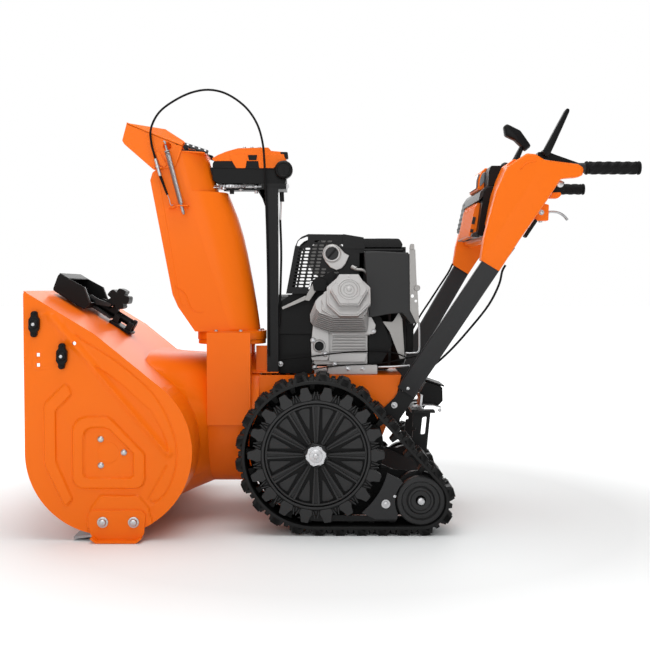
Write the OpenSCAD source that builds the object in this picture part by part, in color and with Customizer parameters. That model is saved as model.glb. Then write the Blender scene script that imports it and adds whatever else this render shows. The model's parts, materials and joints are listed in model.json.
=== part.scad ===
// Two stage snowblower on rubber tracks.
// X points back to the operator, Y to the operator's right, Z up; the origin is on the ground under the middle.

/* [Auger housing] */
// Width between the side plates
clearing_w = 709; // [680:1:720]
// Height of the housing's front edge above the ground
housing_h = 615; // [600:1:630]
// Radius of the rolled back of the housing
housing_r = 205; // [203:1:206]
// Thickness of the sheet steel
sheet = 3; // [2:0.5:3]
// Outer radius of the auger rakes
rake_r = 178; // [150:1:180]

/* [Impeller] */
// Outer radius of the round impeller housing
drum_r = 178; // [177:1:179]
// Outer radius of the impeller blades
impeller_r = 168; // [150:1:170]
// Number of impeller blades
blades = 3; // [3:1:4]

/* [Chute] */
// Width of the discharge chute
chute_w = 150; // [146:1:150]
// Radius of the flange that the chute turns on
ring_r = 93; // [92:1:94]
// Forward lean of the chute's back, in degrees
chute_lean = 16.8; // [16:0.1:17]

/* [Tracks] */
// Radius of the belt's inner face on the drive wheel
drive_r = 179; // [179:1:179]
// Radius of the belt's inner face on the rear idler
idle_r = 62.5; // [62.5:0.5:62.5]
// Thickness of the belt's carcass
belt_t = 9; // [9:1:9]
// Height of the cleats
cleat_h = 15; // [15:1:15]
// Width of each track
track_w = 125; // [115:1:125]
// Number of spokes in a drive wheel
spokes = 12; // [8:1:14]

/* [Chassis] */
// Width of the gear housing between the tracks
chassis_w = 300; // [290:1:300]
// Thickness of its side plates
chassis_t = 4; // [3:1:5]

/* [Handles] */
// Distance between the two handles
handle_w = 548; // [540:1:560]
// Radius of the rubber grips
grip_r = 17; // [16:0.5:17.5]

/* [Hidden] */
$fn = 48;
front_x = -767;
auger_x = -562;
auger_z = 219;
impeller_z = 265;
plate_y = clearing_w / 2;
chute_x = -282;
chute_y = -80;
ring_z = 485;
post_y = -117;
wheel_x = -53;
wheel_z = drive_r + belt_t + cleat_h;
idler_x = 211;
idler_z = idle_r + belt_t + cleat_h;
track_y = 311 - track_w / 2;
hex_x = -60;
hex_z = wheel_z + sqrt(pow(99, 2) - pow(wheel_x - hex_x, 2));
gear_a = atan2(hex_z - wheel_z, hex_x - wheel_x);
hex_phase = gear_a + 15;
crank_z = 478;
shaft_r = 12;
axle_r = 12.7;
side_y = handle_w / 2;
grip_z = 923;
hinge_x = -398;
hinge_z = 992;
rod_top = [-446, 994];
rod_tilt = 14.65;
rod_y = -175.5;
gear_m = 3;
cable_r = 3.2;
fit = 0.1;

function arc(c, r, a0, a1, n) = [
    for (i = [0:n]) let (a = a0 + (a1 - a0) * i / n) [c[0] + r * cos(a), c[1] + r * sin(a)]
];

// Extrudes an outline drawn in X and Z across the machine, from y0 to y1.
module across(y0, y1) {
    translate([0, y1, 0])
        rotate([90, 0, 0])
            linear_extrude(y1 - y0) children();
}

// Extrudes an outline drawn in Y and Z along the machine, from x0 to x1.
module along(x0, x1) {
    translate([x0, 0, 0])
        rotate([90, 0, 90])
            linear_extrude(x1 - x0) children();
}

module block(low, high) {
    translate(low) cube(high - low);
}

module rod_x(x0, x1, y, z, r) {
    translate([x0, y, z]) rotate([0, 90, 0]) cylinder(h = x1 - x0, r = r);
}

module rod_y(y0, y1, x, z, r) {
    translate([x, y1, z]) rotate([90, 0, 0]) cylinder(h = y1 - y0, r = r);
}

module rod_z(z0, z1, x, y, r) {
    translate([x, y, z0]) cylinder(h = z1 - z0, r = r);
}

module hex_y(y0, y1, x, z, flats) {
    translate([x, y1, z]) rotate([90, 0, 0]) cylinder(h = y1 - y0, r = flats / sqrt(3), $fn = 6);
}

module both_sides() {
    children();
    mirror([0, 1, 0]) children();
}

// Gear outline with straight-flanked teeth and some backlash; a tooth is centred on angle 0.
module gear(teeth, m) {
    step = 360 / teeth;
    r = teeth * m / 2;
    half = step * 0.17;
    polygon([
        for (i = [0:teeth - 1], k = [0:3])
            let (a = i * step + [-1.5, -0.6, 0.6, 1.5][k] * half)
                (r + [-1.2, 0.7, 0.7, -1.2][k] * m) * [cos(a), sin(a)]
    ]);
}

// A tube swept along a route of points, for cables that the machine holds.
function unit(v) = v / norm(v);
function heading(p, i) = unit(p[min(i + 1, len(p) - 1)] - p[max(i - 1, 0)]);
function smooth(p, n) = [
    for (i = [0:len(p) - 2], k = [0:n - 1])
        let (
            t = k / n, a = p[max(i - 1, 0)], b = p[i], c = p[i + 1],
            d = p[min(i + 2, len(p) - 1)]
        )
        0.5 * (2 * b + (c - a) * t + (2 * a - 5 * b + 4 * c - d) * t * t
            + (3 * b - a - 3 * c + d) * t * t * t),
    p[len(p) - 1]
];

module tube(route, r, sides, side = [0, 1, 0]) {
    n = len(route);
    ring = [
        for (i = [0:n - 1], s = [0:sides - 1])
            let (
                h = heading(route, i), u = unit(cross(h, side)), v = cross(h, u),
                a = 360 * s / sides
            )
            route[i] + r * (cos(a) * u + sin(a) * v)
    ];
    polyhedron(ring, [
        [for (s = [0:sides - 1]) s],
        [for (s = [sides - 1:-1:0]) (n - 1) * sides + s],
        for (i = [0:n - 2], s = [0:sides - 1])
            let (a = i * sides + s, b = i * sides + (s + 1) % sides)
                [b, a, a + sides, b + sides]
    ]);
}

// ---- Auger housing ----

bend = [-595, 510];
bend_a = atan2(bend[1] - auger_z, bend[0] - auger_x);
roll_a = bend_a - acos(housing_r / norm(bend - [auger_x, auger_z]));
lip_a = -105;

function housing_line(inset, last) = concat(
    [[front_x, housing_h - 1.17 * inset], bend - inset * [0.57, 0.82]],
    arc([auger_x, auger_z], housing_r - inset, roll_a, -90, 32),
    arc([auger_x, auger_z], housing_r - inset, -90 + (last + 90) / 16, last, 15)
);

module housing_solid() {
    across(-plate_y - 60, plate_y + 60) polygon(housing_line(0, -180));
}

module housing_shell() {
    back = housing_line(sheet, lip_a);
    color([0.96, 0.42, 0.10])
        difference() {
            across(-plate_y, plate_y)
                polygon(concat(housing_line(0, lip_a), [for (i = [len(back) - 1:-1:0]) back[i]]));
            rod_x(auger_x, -300, 0, impeller_z, drum_r - sheet);
        }
}

module side_plates() {
    color([0.96, 0.45, 0.12])
        both_sides() difference() {
            union() {
                across(-plate_y - sheet, -plate_y) polygon(housing_line(0, -180));
                across(-plate_y - sheet - 2, -plate_y - sheet)
                    polygon([
                        [-668, 360], [-722, 300], [-722, 190], [-690, 110], [-668, 96], [-655, 108],
                        [-676, 130], [-698, 192], [-698, 290], [-655, 342]
                    ]);
            }
            rod_y(-plate_y - 9, -plate_y + 9, auger_x, auger_z, 26);
            for (z = [434, 459]) block([-737, -plate_y - 9, z - 4], [-729, -plate_y + 9, z + 4]);
        }
}

module impeller_housing() {
    color([0.96, 0.42, 0.10])
        difference() {
            rod_x(-540, -205, 0, impeller_z, drum_r);
            rod_x(-600, -205 - sheet, 0, impeller_z, drum_r - sheet);
            rod_x(-220, -190, 0, impeller_z, shaft_r + fit);
            housing_solid();
            block([-337, -181, impeller_z], [-229, 5, 500]);
        }
}

module chute_neck() {
    color([0.96, 0.45, 0.12])
        difference() {
            union() {
                block([-340, -184, impeller_z - 3], [-226, 8, ring_z - 1]);
                block([-340, -184, ring_z - 1], [-226, -181, ring_z + 20]);
                translate([chute_x, chute_y, ring_z - 12]) cylinder(h = 11, r = ring_r - 2);
                block([-226, -118, 395], [-186, -115, 468]);
                block([-226, -130, 395], [-155, -104, 398]);
            }
            block([-337, -181, 100], [-229, 5, ring_z - 12]);
            translate([chute_x, chute_y, 400]) cylinder(h = 100, r = 77);
            rod_x(-540, -205, 0, impeller_z, drum_r);
        }
}

module scraper_blade() {
    color([0.20, 0.20, 0.21])
        across(-plate_y, plate_y) polygon([[-650, 4], [-598, 10], [-598, 16], [-650, 10]]);
}

module skid_shoes() {
    color([0.93, 0.42, 0.10])
        both_sides() {
            difference() {
                across(-plate_y - sheet - 6, -plate_y - sheet)
                    polygon([[-589, 0], [-492, 0], [-474, 18], [-478, 72], [-600, 72], [-604, 18]]);
                for (x = [-574, -499]) rod_y(-plate_y - 20, -plate_y, x, 49, 5);
            }
            block([-589, -plate_y - sheet - 30, 0], [-492, -plate_y - sheet - 6, 5]);
            for (x = [-574, -499]) {
                rod_y(-plate_y - sheet - 8, -plate_y - sheet - 6, x, 49, 12);
                hex_y(-plate_y - sheet - 15, -plate_y - sheet - 8, x, 49, 15);
            }
        }
}

module drift_cutters() {
    slope = 40;
    color([0.93, 0.42, 0.10])
        both_sides()
            translate([-672, plate_y - 4.2, 457])
                rotate([0, -slope, 0])
                    translate([-21, 0, -170]) cube([42, 4, 290]);
}

module cutter_knobs() {
    color([0.10, 0.10, 0.11])
        both_sides()
            for (p = [[-739, 536], [-672.5, 457]]) {
                rod_y(-plate_y - sheet - 14, -plate_y - sheet, p[0], p[1], 9);
                block(
                    [p[0] - 8, -plate_y - sheet - 26, p[1] - 30],
                    [p[0] + 8, -plate_y - sheet - 14, p[1] + 30]
                );
            }
}

module auger_bearings() {
    color([0.62, 0.62, 0.64])
        both_sides() {
            difference() {
                union() {
                    rod_y(-plate_y, -plate_y + 5, auger_x, auger_z, 48);
                    rod_y(-plate_y - sheet - 4, -plate_y + 14, auger_x, auger_z, 25);
                }
                rod_y(-plate_y - 20, -plate_y + 20, auger_x, auger_z, shaft_r + fit);
            }
            for (a = [0, 120, 240])
                hex_y(
                    -plate_y - sheet - 6, -plate_y - sheet, auger_x + 37 * cos(a),
                    auger_z + 37 * sin(a), 11
                );
        }
}

module gear_case() {
    color([0.25, 0.25, 0.26])
        difference() {
            union() {
                rod_y(-34, 34, auger_x, auger_z, 34);
                rod_x(auger_x - 44, auger_x + 70, 0, impeller_z, 26);
                block([auger_x - 34, -24, auger_z], [auger_x + 34, 24, impeller_z]);
                rod_y(-60, 60, auger_x, auger_z, 20);
            }
            rod_y(-27, 27, auger_x, auger_z, 28);
            rod_x(auger_x - 36, auger_x + 50, 0, impeller_z, 21);
            rod_x(auger_x, auger_x + 90, 0, impeller_z, shaft_r + fit);
            rod_y(-90, 90, auger_x, auger_z, shaft_r + fit);
        }
}

// ---- Auger ----

module auger_shaft() {
    color([0.55, 0.55, 0.57]) {
        rod_y(-plate_y - sheet, plate_y + sheet, auger_x, auger_z, shaft_r);
        difference() {
            rod_y(-9, 9, auger_x, auger_z, 25);
            rod_y(-10, 10, auger_x, auger_z, shaft_r);
        }
    }
}

// One side's rake: a hub tube with a ribbon flight that winds once and a half outwards.
module rake() {
    turns = 1.5;
    n = 54;
    y0 = 70;
    y1 = plate_y - 24;
    function wind(i) = 360 * turns * i / n;
    function at(i, r, dy) = [
        auger_x + r * cos(wind(i)), y0 + (y1 - y0) * i / n + dy, auger_z + r * sin(wind(i))
    ];
    color([0.96, 0.42, 0.10]) {
        difference() {
            rod_y(62, plate_y - 16, auger_x, auger_z, 20);
            rod_y(60, plate_y, auger_x, auger_z, shaft_r + fit);
        }
        polyhedron(
            [
                for (i = [0:n], k = [0:3])
                    at(i, [rake_r - 62, rake_r, rake_r, rake_r - 62][k], [-3, -3, 3, 3][k])
            ],
            [
                [0, 1, 2, 3], [4 * n + 3, 4 * n + 2, 4 * n + 1, 4 * n],
                for (i = [0:n - 1], k = [0:3])
                    let (a = 4 * i + k, b = 4 * i + (k + 1) % 4) each [[a, a + 4, b], [b, a + 4, b + 4]]
            ]
        );
        for (i = [4, 22, 40, 50])
            translate([auger_x, y0 + (y1 - y0) * i / n, auger_z])
                rotate([0, -wind(i), 0])
                    translate([19, -4, -9]) cube([rake_r - 78, 8, 18]);
    }
}

module auger_rakes() {
    both_sides() rake();
}

// ---- Impeller ----

module impeller_shaft() {
    color([0.55, 0.55, 0.57]) {
        rod_x(auger_x - 30, -159, 0, impeller_z, shaft_r);
        difference() {
            rod_x(auger_x - 20, auger_x + 20, 0, impeller_z, 19);
            rod_x(auger_x - 21, auger_x + 21, 0, impeller_z, shaft_r);
        }
    }
}

module impeller() {
    color([0.96, 0.42, 0.10])
        difference() {
            union() {
                rod_x(-345, -225, 0, impeller_z, 30);
                rod_x(-228, -222, 0, impeller_z, impeller_r - 30);
                for (i = [0:blades - 1])
                    translate([-340, 0, impeller_z])
                        rotate([i * 360 / blades, 0, 0])
                            block([0, -3, 20], [116, 3, impeller_r]);
            }
            rod_x(-400, -200, 0, impeller_z, shaft_r);
        }
}

module pulley(x0, w, z, r, bore) {
    translate([x0, 0, z])
        rotate([0, 90, 0])
            rotate_extrude()
                polygon([
                    [bore, 0], [r, 0], [r, 2], [r - 9, w / 2 - 2], [r - 9, w / 2 + 2], [r, w - 2],
                    [r, w], [bore, w]
                ]);
}

module impeller_pulley() {
    color([0.35, 0.35, 0.37]) pulley(-180, 20, impeller_z, 98, shaft_r);
}

// ---- Clean-out tool ----

tool_tilt = atan2(105, 172);

module on_top() {
    translate([-681, 0, 562.8]) rotate([0, tool_tilt, 0]) children();
}

module tool_clips() {
    color([0.10, 0.10, 0.11])
        on_top() {
            for (x = [70, 112]) {
                block([x, -48, 0.2], [x + 16, 12, 5]);
                block([x, -48, 5], [x + 16, -42, 26]);
                block([x, 6, 5], [x + 16, 12, 26]);
            }
        }
}

module cleanout_tool() {
    color([0.10, 0.10, 0.11])
        on_top() {
            difference() {
                across(-140, 90) polygon([[-90, 8], [-99, 55], [-21, 59], [14, 30], [8, 8]]);
                across(-134, 84) polygon([[-84, 14], [-92, 62], [-24, 66], [6, 30], [2, 14]]);
            }
            difference() {
                rod_x(-20, 130, -18, 26, 14);
                across(-60, 20) polygon([[-84, 10], [-92, 62], [-24, 66], [6, 30], [2, 10]]);
            }
            rod_x(40, 78, -18, 62, 34);
        }
}

// ---- Discharge chute ----

module chute_section(r, reach) {
    back = [-206 - 75 * cos(chute_lean), chute_y, 513 - 75 * sin(chute_lean)];
    translate(back)
        rotate([0, -chute_lean, 0])
            translate([0, 0, -80])
                linear_extrude(640) {
                    circle(r = r);
                    translate([-reach, -r]) square([reach, 2 * r]);
                }
}

module chute_plate(points) {
    across(chute_y - chute_w / 2 + 1, chute_y + chute_w / 2 - 1) polygon(points);
}

module chute_body() {
    half = chute_w / 2;
    top = ring_z + 22;
    color([0.96, 0.42, 0.10]) {
        difference() {
            union() {
                intersection() {
                    difference() {
                        chute_section(half, 260);
                        chute_section(half - sheet, 300);
                    }
                    across(chute_y - 100, chute_y + 100)
                        polygon([
                            [-374, top], [-418, 571], [-433, 605], [-490, 905], [-484, 925], [-412, 983],
                            [-330, 978], [-180, top]
                        ]);
                }
                chute_plate([[-374, top], [-418, 571], [-433, 605], [-430, 605], [-415, 572], [-370, top]]);
                difference() {
                    rod_z(ring_z, ring_z + 22.5, chute_x, chute_y, ring_r);
                    rod_z(ring_z - 1, ring_z + 23, chute_x, chute_y, 76);
                }
                chute_plate([[-412, 983], [-346, 979], [-346, 976], [-412, 980]]);
                block([-416, chute_y - half - 28, 835], [-388, chute_y - half + 1, 838]);
                block([-441, chute_y - half - 20, 832], [-423, chute_y - half + 1, 835]);
            }
            rod_line(6);
        }
    }
}

module chute_gear() {
    teeth = 34;
    color([0.72, 0.72, 0.74])
        difference() {
            union() {
                translate([chute_x, chute_y, 890]) linear_extrude(6) gear(teeth, gear_m);
                rod_z(896, 899, chute_x, chute_y, 30);
            }
            chute_section(chute_w / 2, 260);
            rod_z(880, 910, chute_x, chute_y, 6 + fit);
        }
}

module hinge_leaves() {
    color([0.10, 0.10, 0.11])
        difference() {
            union() {
                for (y = [-66, 0, 66]) {
                    rod_y(chute_y + y - 9, chute_y + y + 9, hinge_x, hinge_z, 5.5);
                    block([hinge_x, chute_y + y - 9, 984], [hinge_x + 3, chute_y + y + 9, 990]);
                }
                across(chute_y - 74, chute_y + 74)
                    polygon([[-412, 983.1], [-346, 979.1], [-346, 982.1], [-412, 986.1]]);
            }
            rod_y(chute_y - 90, chute_y + 90, hinge_x, hinge_z, 2.5);
        }
    color([0.7, 0.7, 0.72]) rod_y(chute_y - 76, chute_y + 76, hinge_x, hinge_z, 2.4);
}

module chute_pinion() {
    color([0.72, 0.72, 0.74])
        translate([chute_x + 22 * gear_m, chute_y, 0]) {
            translate([0, 0, 889]) rotate([0, 0, 18]) linear_extrude(8) gear(10, gear_m);
            translate([0, 0, 877]) cylinder(h = 48, r = 5);
        }
}

cap_x = -150;
cap_z = 938;

module gearbox_case() {
    color([0.12, 0.12, 0.13]) {
        difference() {
            union() {
                translate([chute_x, chute_y, 904]) cylinder(h = 41, r = 36);
                block([chute_x, chute_y - 36, 904], [-200, chute_y + 36, 945]);
                block([-200, chute_y - 46, 900], [-142, chute_y + 46, 945]);
                rod_y(chute_y - 62, chute_y - 30, cap_x, cap_z, 23);
            }
            rod_z(890, 940, chute_x + 22 * gear_m, chute_y, 30);
            translate([chute_x, chute_y, 890]) cylinder(h = 50, r = 32);
            block([chute_x, chute_y - 30, 890], [-180, chute_y + 30, 940]);
        }
    }
}

module gearbox_cover() {
    color([0.96, 0.42, 0.10])
        difference() {
            across(chute_y - 36, chute_y + 36)
                polygon([
                    [-318, 945.2], [-318, 966], [-300, 975], [-270, 995], [-180, 997], [-172, 991], [-150, 989],
                    [-143, 975], [-143, 945.2]
                ]);
            across(chute_y - 33, chute_y + 33)
                polygon([
                    [-315, 940], [-315, 964], [-298, 973], [-269, 992], [-181, 994], [-174, 988], [-152, 986],
                    [-146, 974], [-146, 940]
                ]);
            rod_y(chute_y - 90, chute_y, cap_x, cap_z, 23.3);
        }
}

module chute_post() {
    color([0.10, 0.10, 0.11])
        difference() {
            union() {
                block([-185, post_y - 13, 398.2], [-155, post_y + 13, 884]);
                across(post_y - 2, post_y + 2) polygon([[-212, 884], [-185, 884], [-185, 840]]);
                block([-200, post_y - 13, 884], [-134, chute_y + 44, 888]);
                rod_z(884, 888, chute_x, chute_y, 22);
                block([chute_x, chute_y - 20, 884], [-190, chute_y + 20, 888]);
                block([-212, post_y - 4, 884], [-190, chute_y, 888]);
                block([-200, chute_y - 44, 888], [-134, chute_y + 44, 899.8]);
                rod_z(876, 903, chute_x, chute_y, 6);
            }
            rod_z(860, 900, chute_x + 22 * gear_m, chute_y, 5 + fit);
            rod_z(888.1, 899.9, chute_x + 22 * gear_m, chute_y, 20);
        }
}

// ---- Deflector ----

module deflector() {
    half = chute_w / 2;
    side = [
        [-549, 1054], [-562, 1008], [-556, 998], [-479, 931], [-423, 940], [-407, 984], [-404, 1010],
        [-454, 1043]
    ];
    roof = [[-549, 1054], [-454, 1043], [-404, 1010], [-404, 1006.5], [-455, 1040], [-549, 1051]];
    color([0.96, 0.42, 0.10])
        difference() {
            union() {
                across(chute_y - half - 5, chute_y - half - 2) polygon(side);
                across(chute_y + half + 2, chute_y + half + 5) polygon(side);
                across(chute_y - half - 2, chute_y + half + 2) polygon(roof);
                across(chute_y - 55, chute_y - 11)
                    polygon([[-404, 1010], [-392, 996], [-394.5, 994], [-404, 1006.5]]);
                across(chute_y + 11, chute_y + 55)
                    polygon([[-404, 1010], [-392, 996], [-394.5, 994], [-404, 1006.5]]);
                for (y = [-33, 33]) rod_y(chute_y + y - 22, chute_y + y + 22, hinge_x, hinge_z, 5.5);
                block([-480, chute_y - half - 15, 934], [-458, chute_y - half - 5, 937]);
            }
            rod_y(chute_y - 90, chute_y + 90, hinge_x, hinge_z, 2.5);
            rod_y(chute_y - half - 9, chute_y - half, rod_top[0] + 2, rod_top[1] - 1, 12);
            block([-474, chute_y - half - 20, 930], [-463, chute_y - half - 5.5, 940]);
        }
}

// A cylinder on the spring rod's own line, between two distances below its top.
module rod_line(r, from = 0, to = 220) {
    translate([rod_top[0], rod_y, rod_top[1]])
        rotate([0, 180 - rod_tilt, 0])
            translate([0, 0, from]) cylinder(h = to - from, r = r);
}

module spring_rod() {
    color([0.70, 0.70, 0.72]) {
        rod_line(3.2, 0, 208);
        rod_line(7.5, 16, 19);
        rod_y(rod_y, chute_y - chute_w / 2 - 2.3, rod_top[0], rod_top[1], 3);
    }
}

module deflector_spring() {
    color([0.70, 0.72, 0.74])
        difference() {
            rod_line(7.5, 19.2, 157);
            rod_line(5.5, 10, 170);
        }
}

deflector_route = [
    [-432, -168, 839], [-450, -167, 886], [-467, -166, 930], [-474, -166, 960], [-484, -168, 1000],
    [-484, -170, 1040], [-462, -166, 1082], [-420, -158, 1115], [-375, -152, 1136], [-330, -148, 1142],
    [-285, -146, 1130], [-240, -144, 1098], [-210, -144, 1055], [-195, -146, 1005], [-190, -146, 950],
    [-188, -142, 890], [-186, -138, 830], [-184, -136, 760], [-182, -135, 650], [-181, -135, 540],
    [-180, -135, 440]
];

left_control_route = [
    [426, -264, 680], [418, -262, 664], [411, -255, 630], [388, -236, 578], [346, -206, 518], [300, -185, 462],
    [255, -165, 418], [215, -145, 392], [178, -130, 380]
];
right_control_route = [
    [359, 264, 696], [345, 262, 668], [318, 254, 628], [288, 246, 583], [258, 230, 540], [234, 212, 500],
    [210, 190, 462], [190, 170, 430], [176, 150, 408], [158, 136, 398]
];

module control_cables() {
    color([0.08, 0.08, 0.08])
        for (route = [deflector_route, left_control_route, right_control_route])
            tube(smooth(route, 3), cable_r, 8);
}

// ---- Chassis ----

module chassis() {
    half = chassis_w / 2;
    side = [
        [-204.8, 120], [-150, 96], [20, 96], [110, 200], [150, 300], [172, 391], [-204.8, 391]
    ];
    color([0.96, 0.42, 0.10])
        difference() {
            union() {
                for (y = [-half, half - chassis_t]) across(y, y + chassis_t) polygon(side);
                block([-204.8, -half + chassis_t, 120], [-201.8, half - chassis_t, 391]);
                across(-half + chassis_t, half - chassis_t)
                    polygon([
                        [-201.8, 118.7], [-150, 96], [20, 96], [110, 200], [150, 300], [172, 391], [168, 391],
                        [146, 301], [107, 202], [18, 99], [-149, 99], [-201.8, 122]
                    ]);
                block([-60, -half + chassis_t, 387], [170, half - chassis_t, 391]);
            }
            rod_x(-220, -190, 0, impeller_z, shaft_r + 4);
            rod_y(-200, 200, wheel_x, wheel_z, axle_r + fit);
            rod_y(-200, 200, hex_x, hex_z, 10 + fit);
        }
}

module cover_outline(inset) {
    r = 98 - inset;
    foot = 391.3 - 4 * inset;
    polygon(concat(
        [[-r, foot]], arc([0, 506], r, 180, 60, 12), arc([30, 506], r - 10, 45, 0, 8), [[r + 20, foot]]
    ));
}

module belt_cover() {
    color([0.10, 0.10, 0.11])
        difference() {
            along(-187, -66) cover_outline(0);
            along(-184, -69) cover_outline(sheet);
            rod_x(-75, -60, 0, crank_z, 45);
        }
}

module belt(x0, w, z0, r0, z1, r1) {
    d = z1 - z0;
    tilt = asin((r0 - r1) / d);
    function outline(t) = concat(
        arc([0, z0], r0 + t, 180 - tilt, 360 + tilt, 30), arc([0, z1], r1 + t, tilt, 180 - tilt, 20)
    );
    along(x0, x0 + w)
        difference() {
            polygon(outline(7));
            polygon(outline(0));
        }
}

module drive_belts() {
    color([0.08, 0.08, 0.08]) {
        belt(-176, 12, impeller_z, 98.6, crank_z, 36.6);
        belt(-154, 11, hex_z, 52.6, crank_z, 36.6);
    }
}

module crank_pulleys() {
    color([0.40, 0.40, 0.42]) {
        difference() {
            union() {
                rod_x(-178, -162, 0, crank_z, 36);
                rod_x(-162, -156, 0, crank_z, 24);
                rod_x(-156, -141, 0, crank_z, 36);
            }
            rod_x(-200, -130, 0, crank_z, 12.6);
        }
        rod_x(-182, -46, 0, crank_z, 12.6);
    }
}

module friction_disc() {
    color([0.50, 0.50, 0.52]) {
        rod_x(-128, -122, 0, hex_z, 82);
        rod_x(-156, -128, 0, hex_z, 18);
        difference() {
            rod_x(-156, -141, 0, hex_z, 52);
            rod_x(-157, -140, 0, hex_z, 18);
        }
    }
}

module hex_shaft() {
    half = chassis_w / 2;
    color([0.55, 0.55, 0.57]) {
        hex_y(-half + 12, half - 12, hex_x, hex_z, 18);
        difference() {
            for (s = [-1, 1]) rod_y(s * (half - 6) - 6, s * (half - 6) + 6, hex_x, hex_z, 10);
            hex_y(-half + 12, half - 12, hex_x, hex_z, 18);
        }
        translate([hex_x, half - 20, hex_z])
            rotate([90, 0, 0])
                rotate([0, 0, hex_phase])
                    difference() {
                        linear_extrude(16) gear(12, gear_m);
                        translate([0, 0, -1]) cylinder(h = 18, r = 18 / sqrt(3), $fn = 6);
                    }
    }
}

module friction_wheel() {
    color([0.14, 0.14, 0.15])
        difference() {
            union() {
                rod_y(-9, 9, hex_x, hex_z, 61.5);
                rod_y(-18, 18, hex_x, hex_z, 24);
            }
            hex_y(-30, 30, hex_x, hex_z, 18.4);
        }
}

// ---- Tracks ----

module drive_axle() {
    half = chassis_w / 2;
    color([0.55, 0.55, 0.57]) {
        rod_y(-319, 319, wheel_x, wheel_z, axle_r);
        translate([wheel_x, half - 20, wheel_z])
            rotate([90, 0, 0])
                difference() {
                    rotate([0, 0, gear_a]) linear_extrude(14) gear(54, gear_m);
                    translate([0, 0, -1]) cylinder(h = 17, r = axle_r);
                }
        for (s = [-1, 1])
            difference() {
                hex_y(s * 315 - 4, s * 315 + 4, wheel_x, wheel_z, 45);
                rod_y(-330, 330, wheel_x, wheel_z, axle_r);
            }
    }
}

module drive_wheels() {
    y0 = -track_y - track_w / 2;
    y1 = -track_y + track_w / 2;
    lugs = 18;
    module ring(ya, yb, r0, r1) {
        difference() {
            rod_y(ya, yb, wheel_x, wheel_z, r1);
            rod_y(ya - 1, yb + 1, wheel_x, wheel_z, r0);
        }
    }
    color([0.22, 0.22, 0.23])
        both_sides() difference() {
            union() {
                ring(y0 + 4, y1 - 4, 130, 138);
                ring(y0 + 4, y0 + 34, 137, 158);
                ring(y1 - 34, y1 - 4, 137, 158);
                ring(y0 + 16, y0 + 20, 30, 131);
                rod_y(y0, y1, wheel_x, wheel_z, 34);
                for (i = [0:lugs - 1])
                    translate([wheel_x, 0, wheel_z])
                        rotate([0, i * 360 / lugs, 0]) {
                            translate([150, y0 + 4, -17]) cube([26, 30, 34]);
                            translate([150, y1 - 34, -17]) cube([26, 30, 34]);
                        }
                for (i = [0:spokes - 1])
                    translate([wheel_x, y0 + 6, wheel_z])
                        rotate([0, i * 360 / spokes, 0]) {
                            translate([30, 0, -7]) cube([104, 14, 4]);
                            translate([30, 0, 3]) cube([104, 14, 4]);
                        }
            }
            rod_y(y0 - 1, y1 + 1, wheel_x, wheel_z, axle_r);
        }
}

run = [idler_x - wheel_x, idler_z - wheel_z];
run_a = atan2(run[1], run[0]);
wrap = acos((drive_r - idle_r) / norm(run));
straight = sqrt(pow(norm(run), 2) - pow(drive_r - idle_r, 2));

function loop_line(t) = concat(
    arc([wheel_x, wheel_z], drive_r + t, run_a + wrap, run_a + 360 - wrap, 60),
    arc([idler_x, idler_z], idle_r + t, run_a - wrap, run_a + wrap, 30)
);

// Place on the belt at distance s along it, as [x, z, heading], from the top of the drive wheel.
wheel_run = drive_r * (360 - 2 * wrap) * PI / 180;
idle_run = idle_r * 2 * wrap * PI / 180;
loop_run = wheel_run + 2 * straight + idle_run;
function belt_at(s) =
    s < wheel_run
        ? let (a = run_a + wrap + s / drive_r * 180 / PI)
            [wheel_x + drive_r * cos(a), wheel_z + drive_r * sin(a), a]
    : s < wheel_run + straight
        ? let (a = run_a - wrap, d = s - wheel_run)
            [wheel_x + drive_r * cos(a) - d * sin(a), wheel_z + drive_r * sin(a) + d * cos(a), a]
    : s < wheel_run + straight + idle_run
        ? let (a = run_a - wrap + (s - wheel_run - straight) / idle_r * 180 / PI)
            [idler_x + idle_r * cos(a), idler_z + idle_r * sin(a), a]
    : let (a = run_a + wrap, d = s - wheel_run - straight - idle_run)
        [idler_x + idle_r * cos(a) - d * sin(a), idler_z + idle_r * sin(a) + d * cos(a), a];

cleats = 26;

module belt_blocks(r0, r1, half, shift) {
    for (i = [0:cleats - 1]) {
        p = belt_at((i + shift) * loop_run / cleats);
        translate([p[0], p[1]]) rotate(p[2]) translate([r0, -half]) square([r1 - r0, 2 * half]);
    }
}

module rubber_tracks() {
    y0 = -track_y - track_w / 2;
    y1 = -track_y + track_w / 2;
    color([0.12, 0.12, 0.12]) both_sides() {
        across(y0, y1)
            difference() {
                union() {
                    polygon(loop_line(belt_t));
                    belt_blocks(belt_t - 2, belt_t + cleat_h, 11, 0.5);
                }
                polygon(loop_line(0));
            }
        across(-track_y - 20, -track_y + 20)
            difference() {
                belt_blocks(-20, 4, 8, 0);
                difference() {
                    polygon(loop_line(belt_t));
                    polygon(loop_line(0));
                }
            }
    }
}

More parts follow.
